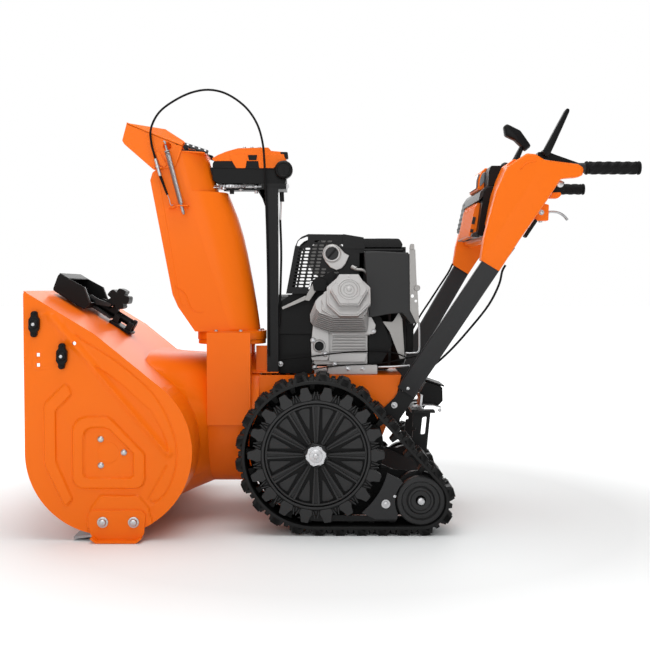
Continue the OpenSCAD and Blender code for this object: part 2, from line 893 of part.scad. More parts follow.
module track_frames() {
    y0 = -track_y - track_w / 2;
    y1 = -track_y + track_w / 2;
    color([0.20, 0.20, 0.21])
        both_sides()
            difference() {
                union() {
                    across(y1 + 2, y1 + 8)
                        polygon(concat(
                            arc([wheel_x, wheel_z], 32, 60, 250, 16), [[120, 40], [190, 46]],
                            arc([idler_x, idler_z], 34, -60, 100, 12)
                        ));
                    across(y0 + 3, y0 + 9)
                        polygon(concat(
                            [[96, 42], [62, 58]], arc([wheel_x, wheel_z], 184, -48, -14, 10), [[158, 143]],
                            arc([idler_x, idler_z], 66, 134, 208, 10), [[150, 42]]
                        ));
                    rod_y(y0 + 9, y1 + 2, 128, 62, 9);
                    across(y0 + 9, y1 + 2) polygon([[100, 47], [148, 47], [148, 52], [100, 52]]);
                    rod_y(y0 + 6, y1 + 2, idler_x, idler_z, 8);
                }
                rod_y(-400, 0, wheel_x, wheel_z, axle_r + fit);
            }
}

module idlers() {
    y0 = -track_y - track_w / 2;
    y1 = -track_y + track_w / 2;
    color([0.14, 0.14, 0.15])
        both_sides()
            difference() {
                union() {
                    rod_y(y0 + 12, y0 + 36, idler_x, idler_z, idle_r - 0.5);
                    rod_y(y1 - 36, y1 - 12, idler_x, idler_z, idle_r - 0.5);
                    rod_y(y0 + 12, y1 - 12, idler_x, idler_z, 36);
                }
                rod_y(y0, y0 + 22, idler_x, idler_z, 46);
                rod_y(-400, 0, idler_x, idler_z, 8 + fit);
            }
}

// ---- Engine ----

module engine() {
    color([0.66, 0.65, 0.63])
        difference() {
            union() {
                block([-44, -128, 391.3], [88, 110, 404]);
                block([-62, -110, 404], [84, 112, 500]);
                along(-64, 84)
                    polygon([[-110, 480], [112, 480], [112, 530], [60, 575], [-60, 560], [-110, 520]]);
                translate([12, -96, 470])
                    rotate([65, 0, 0])
                        for (i = [0:6]) translate([-66, -50, 12 * i - 14]) cube([132, 100, 5]);
                along(-36, 62) polygon([[-80, 480], [20, 560], [-186, 658], [-218, 588]]);
                rod_x(84, 150, 10, 490, 96);
            }
            rod_x(-70, -40, 0, crank_z, 13);
        }
    color([0.10, 0.10, 0.11]) rod_x(150, 196, 10, 490, 92);
    color([0.10, 0.10, 0.11]) rod_y(-122, -110, -43.5, 469, 12);
}

module rocker_cover() {
    color([0.70, 0.69, 0.67])
        translate([20, -204, 622])
            rotate([66, 0, 0]) {
                cylinder(h = 14, r = 62, $fn = 8);
                translate([0, 0, 14]) cylinder(h = 18, r = 50, $fn = 6);
            }
}

module muffler() {
    color([0.45, 0.44, 0.43])
        difference() {
            union() {
                rod_y(-120, 120, -24, 700, 52);
                rod_y(-150, -120, -12, 713, 25);
            }
            rod_y(-117, 117, -24, 700, 49);
            rod_y(-160, -110, -12, 713, 14);
        }
}

module muffler_guard() {
    color([0.10, 0.10, 0.11])
        difference() {
            across(-135, 150)
                polygon([
                    [-131, 609], [-78, 609], [-70, 640], [71, 640], [71, 744], [60, 753], [20, 762], [-66, 762],
                    [-94, 752], [-108, 730]
                ]);
            across(-132, 147)
                polygon([
                    [-140, 600], [-75, 600], [-67, 643], [68, 643], [68, 742], [58, 750], [20, 759], [-65, 759],
                    [-91, 750], [-105, 729], [-130, 606]
                ]);
            rod_y(-160, -120, -12, 713, 34);
        }
}

module snow_hood() {
    color([0.16, 0.16, 0.17])
        difference() {
            across(-176, -90)
                polygon([[73, 716], [205, 712], [212, 540], [196, 520], [150, 530], [92, 545]]);
            across(-172, -80)
                polygon([[77, 712], [201, 708], [208, 541], [194, 524], [150, 534], [96, 548]]);
        }
}

module fuel_tank() {
    color([0.10, 0.10, 0.11])
        difference() {
            across(-60, 150) polygon([[88, 720], [170, 720], [182, 732], [182, 748], [170, 757], [88, 757]]);
            rod_z(740, 760, 135, 60, 22);
        }
}

module fuel_cap() {
    color([0.08, 0.08, 0.08]) {
        rod_z(741, 757, 135, 60, 21.5);
        rod_z(757, 763, 135, 60, 27);
    }
}

// ---- Handles and controls ----

handle_low = [184, -169, 352];
handle_bend = [386, -side_y, 678];
handle_top = [548, -side_y, 900];

module bar(from, to, wide, thick) {
    d = to - from;
    l = norm(d);
    translate(from)
        rotate([0, atan2(d[0], d[2]), 0])
            rotate([asin(-d[1] / l), 0, 0])
                translate([-wide / 2, -thick / 2, 0]) cube([wide, thick, l]);
}

module handle_brackets() {
    half = chassis_w / 2;
    color([0.16, 0.16, 0.17])
        both_sides()
            difference() {
                union() {
                    across(-half - 6, -half - 0.2)
                        polygon([[112, 300], [138, 275], [178, 306], [216, 344], [180, 372], [150, 330]]);
                    block([206, -half - 6, 300], [262, -half + 10, 306]);
                }
                rod_y(-half - 20, -half + 20, 149, 320, 6);
            }
    color([0.10, 0.10, 0.11]) {
        block([200, -140, 290], [218, 140, 300]);
        block([214, -140, 160], [220, -100, 290]);
        block([214, 100, 160], [220, 140, 290]);
    }
}

module handle_tubes() {
    color([0.22, 0.22, 0.23])
        both_sides() {
            bar(handle_low, handle_bend, 50, 22);
            bar(handle_bend, handle_top, 46, 22);
            rod_x(545, 756, -side_y, grip_z, 12.7);
        }
}

module side_panels() {
    color([0.96, 0.42, 0.10])
        both_sides()
            difference() {
                across(-side_y - 16, -side_y + 16)
                    polygon([
                        [364, 691], [406, 665], [422, 689], [459, 747], [493, 792], [526, 846], [556, 894],
                        [608, 900], [618, 906], [616, 921], [518, 941], [502, 955], [476, 959], [432, 932],
                        [393, 838], [379, 758]
                    ]);
                bar(handle_low, handle_bend, 50, 22);
                bar(handle_bend, handle_top, 46, 22);
                rod_x(530, 640, -side_y, grip_z, 12.7);
            }
}

module grips() {
    color([0.06, 0.06, 0.06])
        both_sides()
            difference() {
                rod_x(622, 760, -side_y, grip_z, grip_r);
                rod_x(600, 756, -side_y, grip_z, 12.7);
            }
}

module dash_console() {
    inner = side_y - 16;
    color([0.12, 0.12, 0.13])
        difference() {
            across(-inner, inner)
                polygon([
                    [376, 746], [372, 790], [388, 866], [404, 915], [420, 940], [445, 950], [502, 930],
                    [480, 860], [440, 780], [412, 738]
                ]);
            across(-inner - 1, inner + 1)
                polygon([
                    [381, 750], [377, 789], [393, 865], [408, 912], [423, 935], [444, 945], [495, 926],
                    [475, 862], [436, 783], [411, 744]
                ]);
            block([435, -75, 900], [520, -25, 960]);
            block([435, 75, 900], [520, 105, 960]);
        }
}

module headlight() {
    color([0.85, 0.86, 0.88])
        across(-100, 100) polygon([[391.3, 877], [382.5, 880], [393.5, 916], [403.3, 914]]);
}

// A clutch paddle on its own pivot rod, with its grip side to the left of the machine.
module clutch_lever(s) {
    color([0.08, 0.08, 0.08]) {
        rod_y(s * side_y - 14, s * side_y + 14, 520, 963, 5);
        translate([520, s * side_y, 963])
            rotate([0, 26, 0])
                translate([-3, -14, 0]) cube([6, 28, 120]);
    }
}

module left_clutch_lever() {
    clutch_lever(-1);
}

module right_clutch_lever() {
    clutch_lever(1);
}

module trigger(s) {
    color([0.75, 0.75, 0.77])
        translate([532, s * (side_y - 34), 812]) {
            rotate([0, 98, 0]) translate([-3, -9, 0]) cube([5, 18, 58]);
            rotate([90, 0, 0]) translate([0, 0, -12]) cylinder(h = 24, r = 6);
        }
}

module left_trigger() {
    trigger(-1);
}

module right_trigger() {
    trigger(1);
}

module chute_joystick() {
    color([0.08, 0.08, 0.08]) {
        bar([470, -50, 905], [502, -50, 1004], 10, 10);
        across(-66, -34)
            polygon([
                [470, 1000], [457, 1034], [464, 1052], [480, 1054], [508, 1040], [528, 1006], [520, 994],
                [500, 1000]
            ]);
        rod_y(-72, -28, 470, 905, 7);
    }
}

module speed_lever() {
    color([0.08, 0.08, 0.08]) {
        bar([470, 90, 900], [490, 90, 975], 8, 8);
        translate([492, 90, 985]) sphere(r = 15);
        rod_y(78, 102, 470, 900, 7);
    }
}

module mode_pedal() {
    color([0.14, 0.14, 0.15]) {
        rod_y(-60, 60, 230, 282, 8);
        across(-40, 40) polygon([[224, 282], [236, 282], [262, 330], [300, 340], [300, 345], [258, 336]]);
    }
}

housing_shell();
side_plates();
impeller_housing();
chute_neck();
scraper_blade();
skid_shoes();
drift_cutters();
cutter_knobs();
auger_bearings();
gear_case();
auger_shaft();
auger_rakes();
impeller_shaft();
impeller();
impeller_pulley();
tool_clips();
cleanout_tool();
chute_body();
chute_gear();
hinge_leaves();
chute_pinion();
gearbox_case();
gearbox_cover();
chute_post();
deflector();
spring_rod();
deflector_spring();
chassis();
belt_cover();
drive_belts();
crank_pulleys();
friction_disc();
hex_shaft();
friction_wheel();
drive_axle();
drive_wheels();
track_frames();
rubber_tracks();
idlers();
engine();
rocker_cover();
muffler();
muffler_guard();
snow_hood();
fuel_tank();
fuel_cap();
handle_brackets();
handle_tubes();
side_panels();
grips();
dash_console();
headlight();
left_clutch_lever();
right_clutch_lever();
left_trigger();
right_trigger();
chute_joystick();
speed_lever();
control_cables();
mode_pedal();
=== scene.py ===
"""Looks of a two stage snowblower on rubber tracks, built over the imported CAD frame.

Shapes are given in millimetres in the frame's own axes: X back to the operator, Y across, Z up.
"""

import json
import math

import bmesh
import bpy
import numpy as np
from mathutils import Matrix, Vector


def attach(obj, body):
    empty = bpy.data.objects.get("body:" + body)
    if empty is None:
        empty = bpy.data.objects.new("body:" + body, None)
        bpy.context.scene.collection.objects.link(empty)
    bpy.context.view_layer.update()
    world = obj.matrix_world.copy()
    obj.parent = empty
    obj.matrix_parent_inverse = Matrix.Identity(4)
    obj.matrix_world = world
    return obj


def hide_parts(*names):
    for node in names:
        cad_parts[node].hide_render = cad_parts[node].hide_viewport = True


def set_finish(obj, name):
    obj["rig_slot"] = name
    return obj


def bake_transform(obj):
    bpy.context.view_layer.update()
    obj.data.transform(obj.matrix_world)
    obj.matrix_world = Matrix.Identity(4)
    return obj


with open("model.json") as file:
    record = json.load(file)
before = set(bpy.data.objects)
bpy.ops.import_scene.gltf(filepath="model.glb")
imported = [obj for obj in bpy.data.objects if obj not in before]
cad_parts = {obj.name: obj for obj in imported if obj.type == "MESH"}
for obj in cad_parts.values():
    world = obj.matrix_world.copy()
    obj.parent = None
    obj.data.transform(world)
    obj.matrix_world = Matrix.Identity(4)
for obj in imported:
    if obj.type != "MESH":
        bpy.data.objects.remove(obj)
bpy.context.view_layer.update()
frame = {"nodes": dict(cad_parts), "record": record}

MM = 0.001
NEAR = (0, -1, 0)
FAR = (0, 1, 0)
UP = (0, 0, 1)
WELD = 0.01
CAMERA_AT = (-0.0305, -2.820, 0.622)
CAMERA_DIP = 2.1
LENS = 55.9


# ---- Camera, floor and light ----

def make_camera():
    """Camera level with the machine, dipped a little towards the floor."""
    data = bpy.data.cameras.new("camera")
    data.sensor_width = 36
    data.lens = LENS
    camera = bpy.data.objects.new("camera", data)
    camera.location = CAMERA_AT
    camera.rotation_euler = (math.radians(90 - CAMERA_DIP), 0, 0)
    bpy.context.scene.collection.objects.link(camera)
    bpy.context.scene.camera = camera


def area_light(name, location, aim, size, power):
    data = bpy.data.lights.new(name, "AREA")
    data.shape = "RECTANGLE"
    data.size, data.size_y = size
    data.energy = power
    light = bpy.data.objects.new(name, data)
    light.location = location
    light.visible_camera = False
    light.rotation_euler = (Vector(aim) - Vector(location)).to_track_quat("-Z", "Y").to_euler()
    bpy.context.scene.collection.objects.link(light)


def make_stage():
    """White surroundings, and a floor that shows shadows near the machine and fades to white around it."""
    world = bpy.data.worlds.new("world")
    bpy.context.scene.world = world
    world.use_nodes = True
    tree = world.node_tree
    background = tree.nodes["Background"]
    background.inputs["Color"].default_value = (1, 1, 1, 1)
    background.inputs["Strength"].default_value = 0.46
    seen = tree.nodes.new("ShaderNodeBackground")
    seen.inputs["Color"].default_value = (1, 1, 1, 1)
    seen.inputs["Strength"].default_value = 1.0
    path = tree.nodes.new("ShaderNodeLightPath")
    mix = tree.nodes.new("ShaderNodeMixShader")
    tree.links.new(path.outputs["Is Camera Ray"], mix.inputs["Fac"])
    tree.links.new(background.outputs["Background"], mix.inputs[1])
    tree.links.new(seen.outputs["Background"], mix.inputs[2])
    tree.links.new(mix.outputs["Shader"], tree.nodes["World Output"].inputs["Surface"])

    bpy.ops.mesh.primitive_plane_add(size=60, location=(0, 0, -0.0005))
    floor = bpy.context.object
    floor.name = "floor"
    white = bpy.data.materials.new("floor")
    white.use_nodes = True
    shader = white.node_tree.nodes["Principled BSDF"]
    shader.inputs["Base Color"].default_value = (0.82, 0.838, 0.84, 1)
    shader.inputs["Roughness"].default_value = 0.6
    shader.inputs["Specular IOR Level"].default_value = 0.15
    place = white.node_tree.nodes.new("ShaderNodeTexCoord")
    reach = white.node_tree.nodes.new("ShaderNodeVectorMath")
    reach.operation = "LENGTH"
    glow = white.node_tree.nodes.new("ShaderNodeMapRange")
    glow.inputs["From Min"].default_value = 0.8
    glow.inputs["From Max"].default_value = 2.1
    glow.inputs["To Max"].default_value = 0.7
    white.node_tree.links.new(place.outputs["Object"], reach.inputs[0])
    white.node_tree.links.new(reach.outputs["Value"], glow.inputs["Value"])
    white.node_tree.links.new(glow.outputs["Result"], shader.inputs["Emission Strength"])
    shader.inputs["Emission Color"].default_value = (1, 1, 1, 1)
    floor.data.materials.append(white)

    area_light("top", (-0.3, -0.2, 3.6), (0, 0, 0.3), (3.6, 2.6), 95)
    area_light("front", (-0.9, -4.4, 2.0), (0, 0, 0.5), (4.0, 2.2), 52)
    area_light("back", (0.4, 4.2, 2.2), (0, 0, 0.5), (4.0, 2.2), 52)


make_camera()
make_stage()
bpy.context.scene.view_settings.view_transform = "Standard"


# ---- Materials ----

def shader_of(name, colour, roughness, metallic=0.0, coat=0.0, coat_roughness=0.05, specular=0.5):
    material = bpy.data.materials.new(name)
    material.use_nodes = True
    shader = material.node_tree.nodes["Principled BSDF"]
    shader.inputs["Base Color"].default_value = (*colour, 1)
    shader.inputs["Roughness"].default_value = roughness
    shader.inputs["Metallic"].default_value = metallic
    shader.inputs["Coat Weight"].default_value = coat
    shader.inputs["Coat Roughness"].default_value = coat_roughness
    shader.inputs["Specular IOR Level"].default_value = specular
    return material


def grain(material, size_mm, depth, strength):
    """Fine bump that repeats about every size_mm, as in a cast, moulded or sprayed surface."""
    tree = material.node_tree
    place = tree.nodes.new("ShaderNodeTexCoord")
    noise = tree.nodes.new("ShaderNodeTexNoise")
    noise.inputs["Scale"].default_value = 1000 / size_mm
    noise.inputs["Detail"].default_value = 3
    bump = tree.nodes.new("ShaderNodeBump")
    bump.inputs["Strength"].default_value = strength
    bump.inputs["Distance"].default_value = depth * MM
    tree.links.new(place.outputs["Object"], noise.inputs["Vector"])
    tree.links.new(noise.outputs["Fac"], bump.inputs["Height"])
    tree.links.new(bump.outputs["Normal"], tree.nodes["Principled BSDF"].inputs["Normal"])


def mottle(material, size_mm, low, high):
    """Roughness that drifts between low and high, so that a surface isn't perfectly even."""
    tree = material.node_tree
    place = tree.nodes.new("ShaderNodeTexCoord")
    noise = tree.nodes.new("ShaderNodeTexNoise")
    noise.inputs["Scale"].default_value = 1000 / size_mm
    noise.inputs["Detail"].default_value = 4
    spread = tree.nodes.new("ShaderNodeMapRange")
    spread.inputs["To Min"].default_value = low
    spread.inputs["To Max"].default_value = high
    tree.links.new(place.outputs["Object"], noise.inputs["Vector"])
    tree.links.new(noise.outputs["Fac"], spread.inputs["Value"])
    tree.links.new(spread.outputs["Result"], tree.nodes["Principled BSDF"].inputs["Roughness"])


ORANGE = (0.85, 0.152, 0.003)

# Colour, roughness, what else the shader takes, and the finish with its settings.
FINISHES = {"orange_paint": (ORANGE, 0.38, {"coat": 0.06, "coat_roughness": 0.12, "specular": 0.14}, grain,
                             3, 0.05, 0.1), "orange_plastic": (ORANGE, 0.42,
                                                               {"coat": 0.05, "coat_roughness": 0.2,
                                                                "specular": 0.14}, grain, 1.2, 0.05, 0.12),
            "black_paint": ((0.006, 0.006, 0.0063), 0.4, {"specular": 0.2}, mottle, 40, 0.34, 0.48),
            "charcoal_paint": ((0.020, 0.020, 0.021), 0.42, {"specular": 0.25}, mottle, 40, 0.36, 0.50),
            "black_plastic": ((0.003, 0.003, 0.0032), 0.42, {"specular": 0.16}, grain, 1.0, 0.06, 0.3),
            "charcoal_plastic": ((0.022, 0.022, 0.0225), 0.42, {"specular": 0.25}, grain, 1.0, 0.06, 0.25),
            "gloss_black": ((0.002, 0.002, 0.0022), 0.16, {"coat": 0.05, "specular": 0.18}, None),
            "zinc": ((0.52, 0.52, 0.53), 0.32, {"metallic": 1}, mottle, 12, 0.24, 0.40),
            "steel": ((0.36, 0.36, 0.37), 0.35, {"metallic": 1}, mottle, 20, 0.28, 0.45),
            "cast_aluminium": ((0.43, 0.42, 0.415), 0.42, {"metallic": 0.8}, grain, 1.6, 0.15, 0.4),
            "cast_iron": ((0.03, 0.03, 0.031), 0.55, {"metallic": 0.2}, grain, 1.8, 0.2, 0.5),
            "exhaust_steel": ((0.33, 0.32, 0.31), 0.42, {"metallic": 0.8}, mottle, 25, 0.34, 0.55),
            "rubber": ((0.004, 0.004, 0.0042), 0.6, {"specular": 0.14}, grain, 0.9, 0.08, 0.3),
            "tread_rubber": ((0.006, 0.006, 0.006), 0.5, {"specular": 0.22}, grain, 3, 0.15, 0.4),
            "lamp_lens": ((0.20, 0.215, 0.23), 0.14, {"coat": 0.2, "specular": 0.3}, None), }

materials = {}
for name, (colour, roughness, shine, finish, *settings) in FINISHES.items():
    materials[name] = shader_of(name, colour, roughness, **shine)
    if finish:
        finish(materials[name], *settings)


# ---- Building pieces ----

def arc(x, z, r, a0, a1, n):
    """Points on a circle from angle a0 to a1, in degrees."""
    turns = (math.radians(a0 + (a1 - a0) * i / n) for i in range(n + 1))
    return [(x + r * math.cos(t), z + r * math.sin(t)) for t in turns]


def rounded(points, radius, n=5):
    """The outline with each corner rounded; radius is one number or one per corner."""
    out = []
    for i, p in enumerate(points):
        r = radius[i] if isinstance(radius, (list, tuple)) else radius
        p, a, b = Vector(p), Vector(points[i - 1]), Vector(points[(i + 1) % len(points)])
        ua, ub = (a - p).normalized(), (b - p).normalized()
        half = ua.angle(ub) / 2
        if r == 0 or half > math.radians(88):
            out.append(tuple(p))
            continue
        back = min(r / math.tan(half), 0.49 * (a - p).length, 0.49 * (b - p).length)
        start, end = p + ua * back, p + ub * back
        for k in range(n + 1):
            t = k / n
            out.append(tuple((1 - t) ** 2 * start + 2 * t * (1 - t) * p + t * t * end))
    return out


def rect(a0, b0, a1, b1):
    return [(a0, b0), (a1, b0), (a1, b1), (a0, b1)]


def smooth_path(points, n=6):
    """A smooth line through the points, with n steps between each two."""
    p = [Vector(q) for q in points]
    p = [2 * p[0] - p[1]] + p + [2 * p[-1] - p[-2]]
    line = []
    for i in range(1, len(p) - 2):
        a, b, c, d = p[i - 1:i + 3]
        for k in range(n):
            t = k / n
            line.append(0.5 * (2 * b + (c - a) * t + (2 * a - 5 * b + 4 * c - d) * t * t
                               + (3 * b - a - 3 * c + d) * t ** 3))
    return line + [p[-2]]


def grid_faces(rows, n, ring):
    """Faces between rows of n points: a ring joins last row to first, otherwise both ends are closed."""
    faces = [[i * n + k, i * n + (k + 1) % n, (i + 1) % rows * n + (k + 1) % n, (i + 1) % rows * n + k]
             for i in range(rows if ring else rows - 1) for k in range(n)]
    return faces if ring else faces + [list(range(n)), [(rows - 1) * n + k for k in range(n)]]


def placed(point, degrees, axis):
    """Matrix that turns a shape about an axis and moves it to the point."""
    return Matrix.Translation(point) @ Matrix.Rotation(math.radians(degrees), 4, axis)


class Piece:
    """A visible piece built up from plain shapes, in millimetres."""

    def __init__(self, name, slot, body):
        self.name, self.slot, self.body = name, slot, body
        self.place = Matrix.Identity(4)
        self.verts, self.faces = [], []

    def add(self, verts, faces):
        first = len(self.verts)
        self.verts += [self.place @ Vector(v) for v in verts]
        self.faces += [[first + i for i in face] for face in faces]
        return self

    def at(self, place, shape):
        """Draws a shape moved by a matrix."""
        keep = self.place
        self.place = keep @ place
        shape()
        self.place = keep
        return self

    def loft(self, sections, ring=False):
        """Joins a row of closed outlines that have the same number of points."""
        return self.add([v for section in sections for v in section],
                        grid_faces(len(sections), len(sections[0]), ring))

    def extrude(self, outline, along):
        n = len(outline)
        ends = [list(range(n)), list(range(2 * n - 1, n - 1, -1))]
        sides = [[i, (i + 1) % n, n + (i + 1) % n, n + i] for i in range(n)]
        return self.add([*outline, *(Vector(p) + Vector(along) for p in outline)], ends + sides)

    def across(self, outline, y0, y1):
        return self.extrude([(x, y0, z) for x, z in outline], (0, y1 - y0, 0))

    def slab(self, outline, radius, n, y0, y1):
        """The outline in X and Z, with its corners rounded in n steps, drawn out from y0 to y1."""
        return self.across(rounded(outline, radius, n), y0, y1)

    def along(self, outline, x0, x1):
        return self.extrude([(x0, y, z) for y, z in outline], (x1 - x0, 0, 0))

    def upright(self, outline, z0, z1):
        return self.extrude([(x, y, z0) for x, y in outline], (0, 0, z1 - z0))

    def block(self, low, high):
        (x0, y0, z0), (x1, y1, z1) = low, high
        return self.upright(rect(x0, y0, x1, y1), z0, z1)

    def turned(self, origin, axis, profile, sides=32, ring=False, phase=0.0):
        """A turned shape: profile points are distance along the axis and radius."""
        origin, axis = Vector(origin), Vector(axis).normalized()
        u = axis.orthogonal().normalized()
        v = axis.cross(u)
        turns = [math.tau * k / sides + math.radians(phase) for k in range(sides)]
        return self.loft([[origin + axis * d + r * (math.cos(t) * u + math.sin(t) * v) for t in turns]
                          for d, r in profile], ring)

    def hoop(self, origin, axis, d0, d1, inner, outer, sides):
        """A plain ring from d0 to d1 along the axis, between two radii."""
        return self.turned(origin, axis, [(d0, inner), (d0, outer), (d1, outer), (d1, inner)], sides,
                           ring=True)

    def rod(self, start, end, r, sides=24, edge=0.0):
        start, end = Vector(start), Vector(end)
        length = (end - start).length
        profile = [(0, r), (length, r)]
        if edge:
            profile = [(0, r - edge), (edge, r), (length - edge, r), (length, r - edge)]
        return self.turned(start, end - start, profile, sides)

    def hexagon(self, start, end, flats, phase=0.0):
        start, end = Vector(start), Vector(end)
        profile = [(0, flats / math.sqrt(3)), ((end - start).length, flats / math.sqrt(3))]
        return self.turned(start, end - start, profile, 6, phase=phase)

    def tube(self, points, r, sides=10, flat=1.0):
        """A tube along a line of points; flat widens it across the line."""
        points = [Vector(p) for p in points]
        up = Vector(FAR)
        sections = []
        last = len(points) - 1
        for i, p in enumerate(points):
            d = (points[min(i + 1, last)] - points[max(i - 1, 0)]).normalized()
            u = up - d * up.dot(d)
            u = (u if u.length > 1e-4 else d.orthogonal()).normalized()
            v = d.cross(u)
            up = u
            size = r[i] if isinstance(r, (list, tuple)) else r
            turns = [math.tau * k / sides for k in range(sides)]
            sections.append([p + size * (flat * math.cos(t) * u + math.sin(t) * v) for t in turns])
        return self.loft(sections)

    def hose(self, points, n, r, sides):
        """A tube through the points, smoothed with n steps between each two."""
        return self.tube(smooth_path(points, n), r, sides)

    def bolt(self, at, out, size, washer=1.3):
        """A hex bolt head on its washer; size is the width across the flats."""
        at, out = Vector(at), Vector(out).normalized()
        self.turned(at, out, [(0, size * washer / 2), (0.12 * size, size * washer / 2)], 24)
        self.hexagon(at, at + out * size * 0.48, size)
        return self.turned(at + out * size * 0.48, out, [(0, size * 0.42), (0.06 * size, size * 0.3)], 16)

    def sheet(self, outline, holes, place, thickness):
        """A flat plate with holes: outline and holes are lists of points in the plate's own plane."""
        data = bpy.data.curves.new("plate", "CURVE")
        data.dimensions = "2D"
        data.fill_mode = "BOTH"
        data.extrude = thickness / 2
        for loop in [outline, *holes]:
            spline = data.splines.new("POLY")
            spline.points.add(len(loop) - 1)
            for point, (a, b) in zip(spline.points, loop):
                point.co = (a, b, 0, 1)
            spline.use_cyclic_u = True
        plate = bpy.data.objects.new("plate", data)
        bpy.context.scene.collection.objects.link(plate)
        mesh = bpy.data.meshes.new_from_object(plate.evaluated_get(bpy.context.evaluated_depsgraph_get()))
        verts = [v.co.copy() for v in mesh.vertices]
        faces = [list(f.vertices) for f in mesh.polygons]
        bpy.data.objects.remove(plate)
        bpy.data.curves.remove(data)
        bpy.data.meshes.remove(mesh)
        return self.at(place, lambda: self.add(verts, faces))

    def mirrored(self):
        """Adds the same shapes on the other side of the machine."""
        return self.add([(v.x, -v.y, v.z) for v in self.verts], list(self.faces))

    def done(self, *nodes, bevel=0.6, angle=35):
        """Makes the Blender object, hands it to the frame, and hides the CAD nodes that it stands for."""
        mesh = bpy.data.meshes.new(self.name)
        mesh.from_pydata([v * MM for v in self.verts], [], self.faces)
        shape = bmesh.new()
        shape.from_mesh(mesh)
        bmesh.ops.remove_doubles(shape, verts=shape.verts, dist=WELD * MM)
        bmesh.ops.recalc_face_normals(shape, faces=shape.faces)
        shape.to_mesh(mesh)
        shape.free()
        mesh.materials.append(materials[self.slot])
        piece = bpy.data.objects.new(self.name, mesh)
        bpy.context.scene.collection.objects.link(piece)
        finish_edges(piece, bevel, angle)
        if self.body:
            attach(piece, self.body)
        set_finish(piece, self.slot)
        if nodes:
            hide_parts(*nodes)
        return piece


def finish_edges(piece, bevel, angle):
    """Rounds the hard edges a little, and shades the rest smooth."""
    if bevel:
        edges = piece.modifiers.new("edges", "BEVEL")
        edges.width = bevel * MM
        edges.segments = 2
        edges.limit_method = "ANGLE"
        edges.angle_limit = math.radians(angle)
    piece.data.shade_smooth()
    piece.data.set_sharp_from_angle(angle=math.radians(angle))


# ---- CAD nodes: materials and soft edges ----

slots = {part["node"]: part["material_slot"] for part in frame["record"]["subparts"]}


def dress_nodes():
    for name, node in frame["nodes"].items():
        node.data.materials.clear()
        node.data.materials.append(materials[slots[name]])
        weld = node.modifiers.new("weld", "WELD")
        weld.merge_threshold = WELD * MM
        edges = node.modifiers.new("edges", "BEVEL")
        edges.width = 0.6 * MM
        edges.segments = 2
        edges.limit_method = "ANGLE"
        edges.angle_limit = math.radians(38)


dress_nodes()


# ---- Auger housing ----

AUGER = (-562, 219)
HOUSING_R = 205
PLATE_Y = 357.5
FRONT_X = -767
CREST = (-595, 510)
FLAT_START = (math.atan2(CREST[1] - AUGER[1], CREST[0] - AUGER[0])
              - math.acos(HOUSING_R / math.dist(CREST, AUGER)))


def stretch_of(value, low, high):
    """0 below low, 1 above high, and a smooth rise between."""
    t = np.clip((value - low) / (high - low), 0, 1)
    return t * t * (3 - 2 * t)


def line_distance(x, z, points, closed=False):
    """Distance from each place to a line of points."""
    best = np.full(x.shape, 1e9)
    last = len(points) if closed else len(points) - 1
    for i in range(last):
        (ax, az), (bx, bz) = points[i], points[(i + 1) % len(points)]
        length = (bx - ax) ** 2 + (bz - az) ** 2
        t = np.clip(((x - ax) * (bx - ax) + (z - az) * (bz - az)) / length, 0, 1)
        best = np.minimum(best, np.hypot(x - ax - t * (bx - ax), z - az - t * (bz - az)))
    return best


def inside_depth(x, z, points):
    """Distance to the outline, above 0 inside it and below 0 outside."""
    inside = np.zeros(x.shape, bool)
    for i in range(len(points)):
        (ax, az), (bx, bz) = points[i], points[(i + 1) % len(points)]
        if az != bz:
            crossed = ((az > z) != (bz > z)) & (x < ax + (z - az) / (bz - az) * (bx - ax))
            inside ^= crossed
    far = line_distance(x, z, points, closed=True)
    return np.where(inside, far, -far)


def plate_edges(x):
    """Lowest and highest Z of the side plate at X."""
    reach = np.sqrt(np.maximum(HOUSING_R ** 2 - (x - AUGER[0]) ** 2, 0))
    low = AUGER[1] - reach
    top_corner = 615
    slope_front = top_corner + (x - FRONT_X) * (CREST[1] - top_corner) / (CREST[0] - FRONT_X)
    touch = (AUGER[0] + HOUSING_R * math.cos(FLAT_START), AUGER[1] + HOUSING_R * math.sin(FLAT_START))
    slope_back = CREST[1] + (x - CREST[0]) * (touch[1] - CREST[1]) / (touch[0] - CREST[0])
    high = np.where(x < CREST[0], slope_front, np.where(x < touch[0], slope_back, AUGER[1] + reach))
    corner = 9
    near = np.clip(corner - (x - FRONT_X), 0, corner)
    return low, high - (corner - np.sqrt(corner ** 2 - near ** 2))


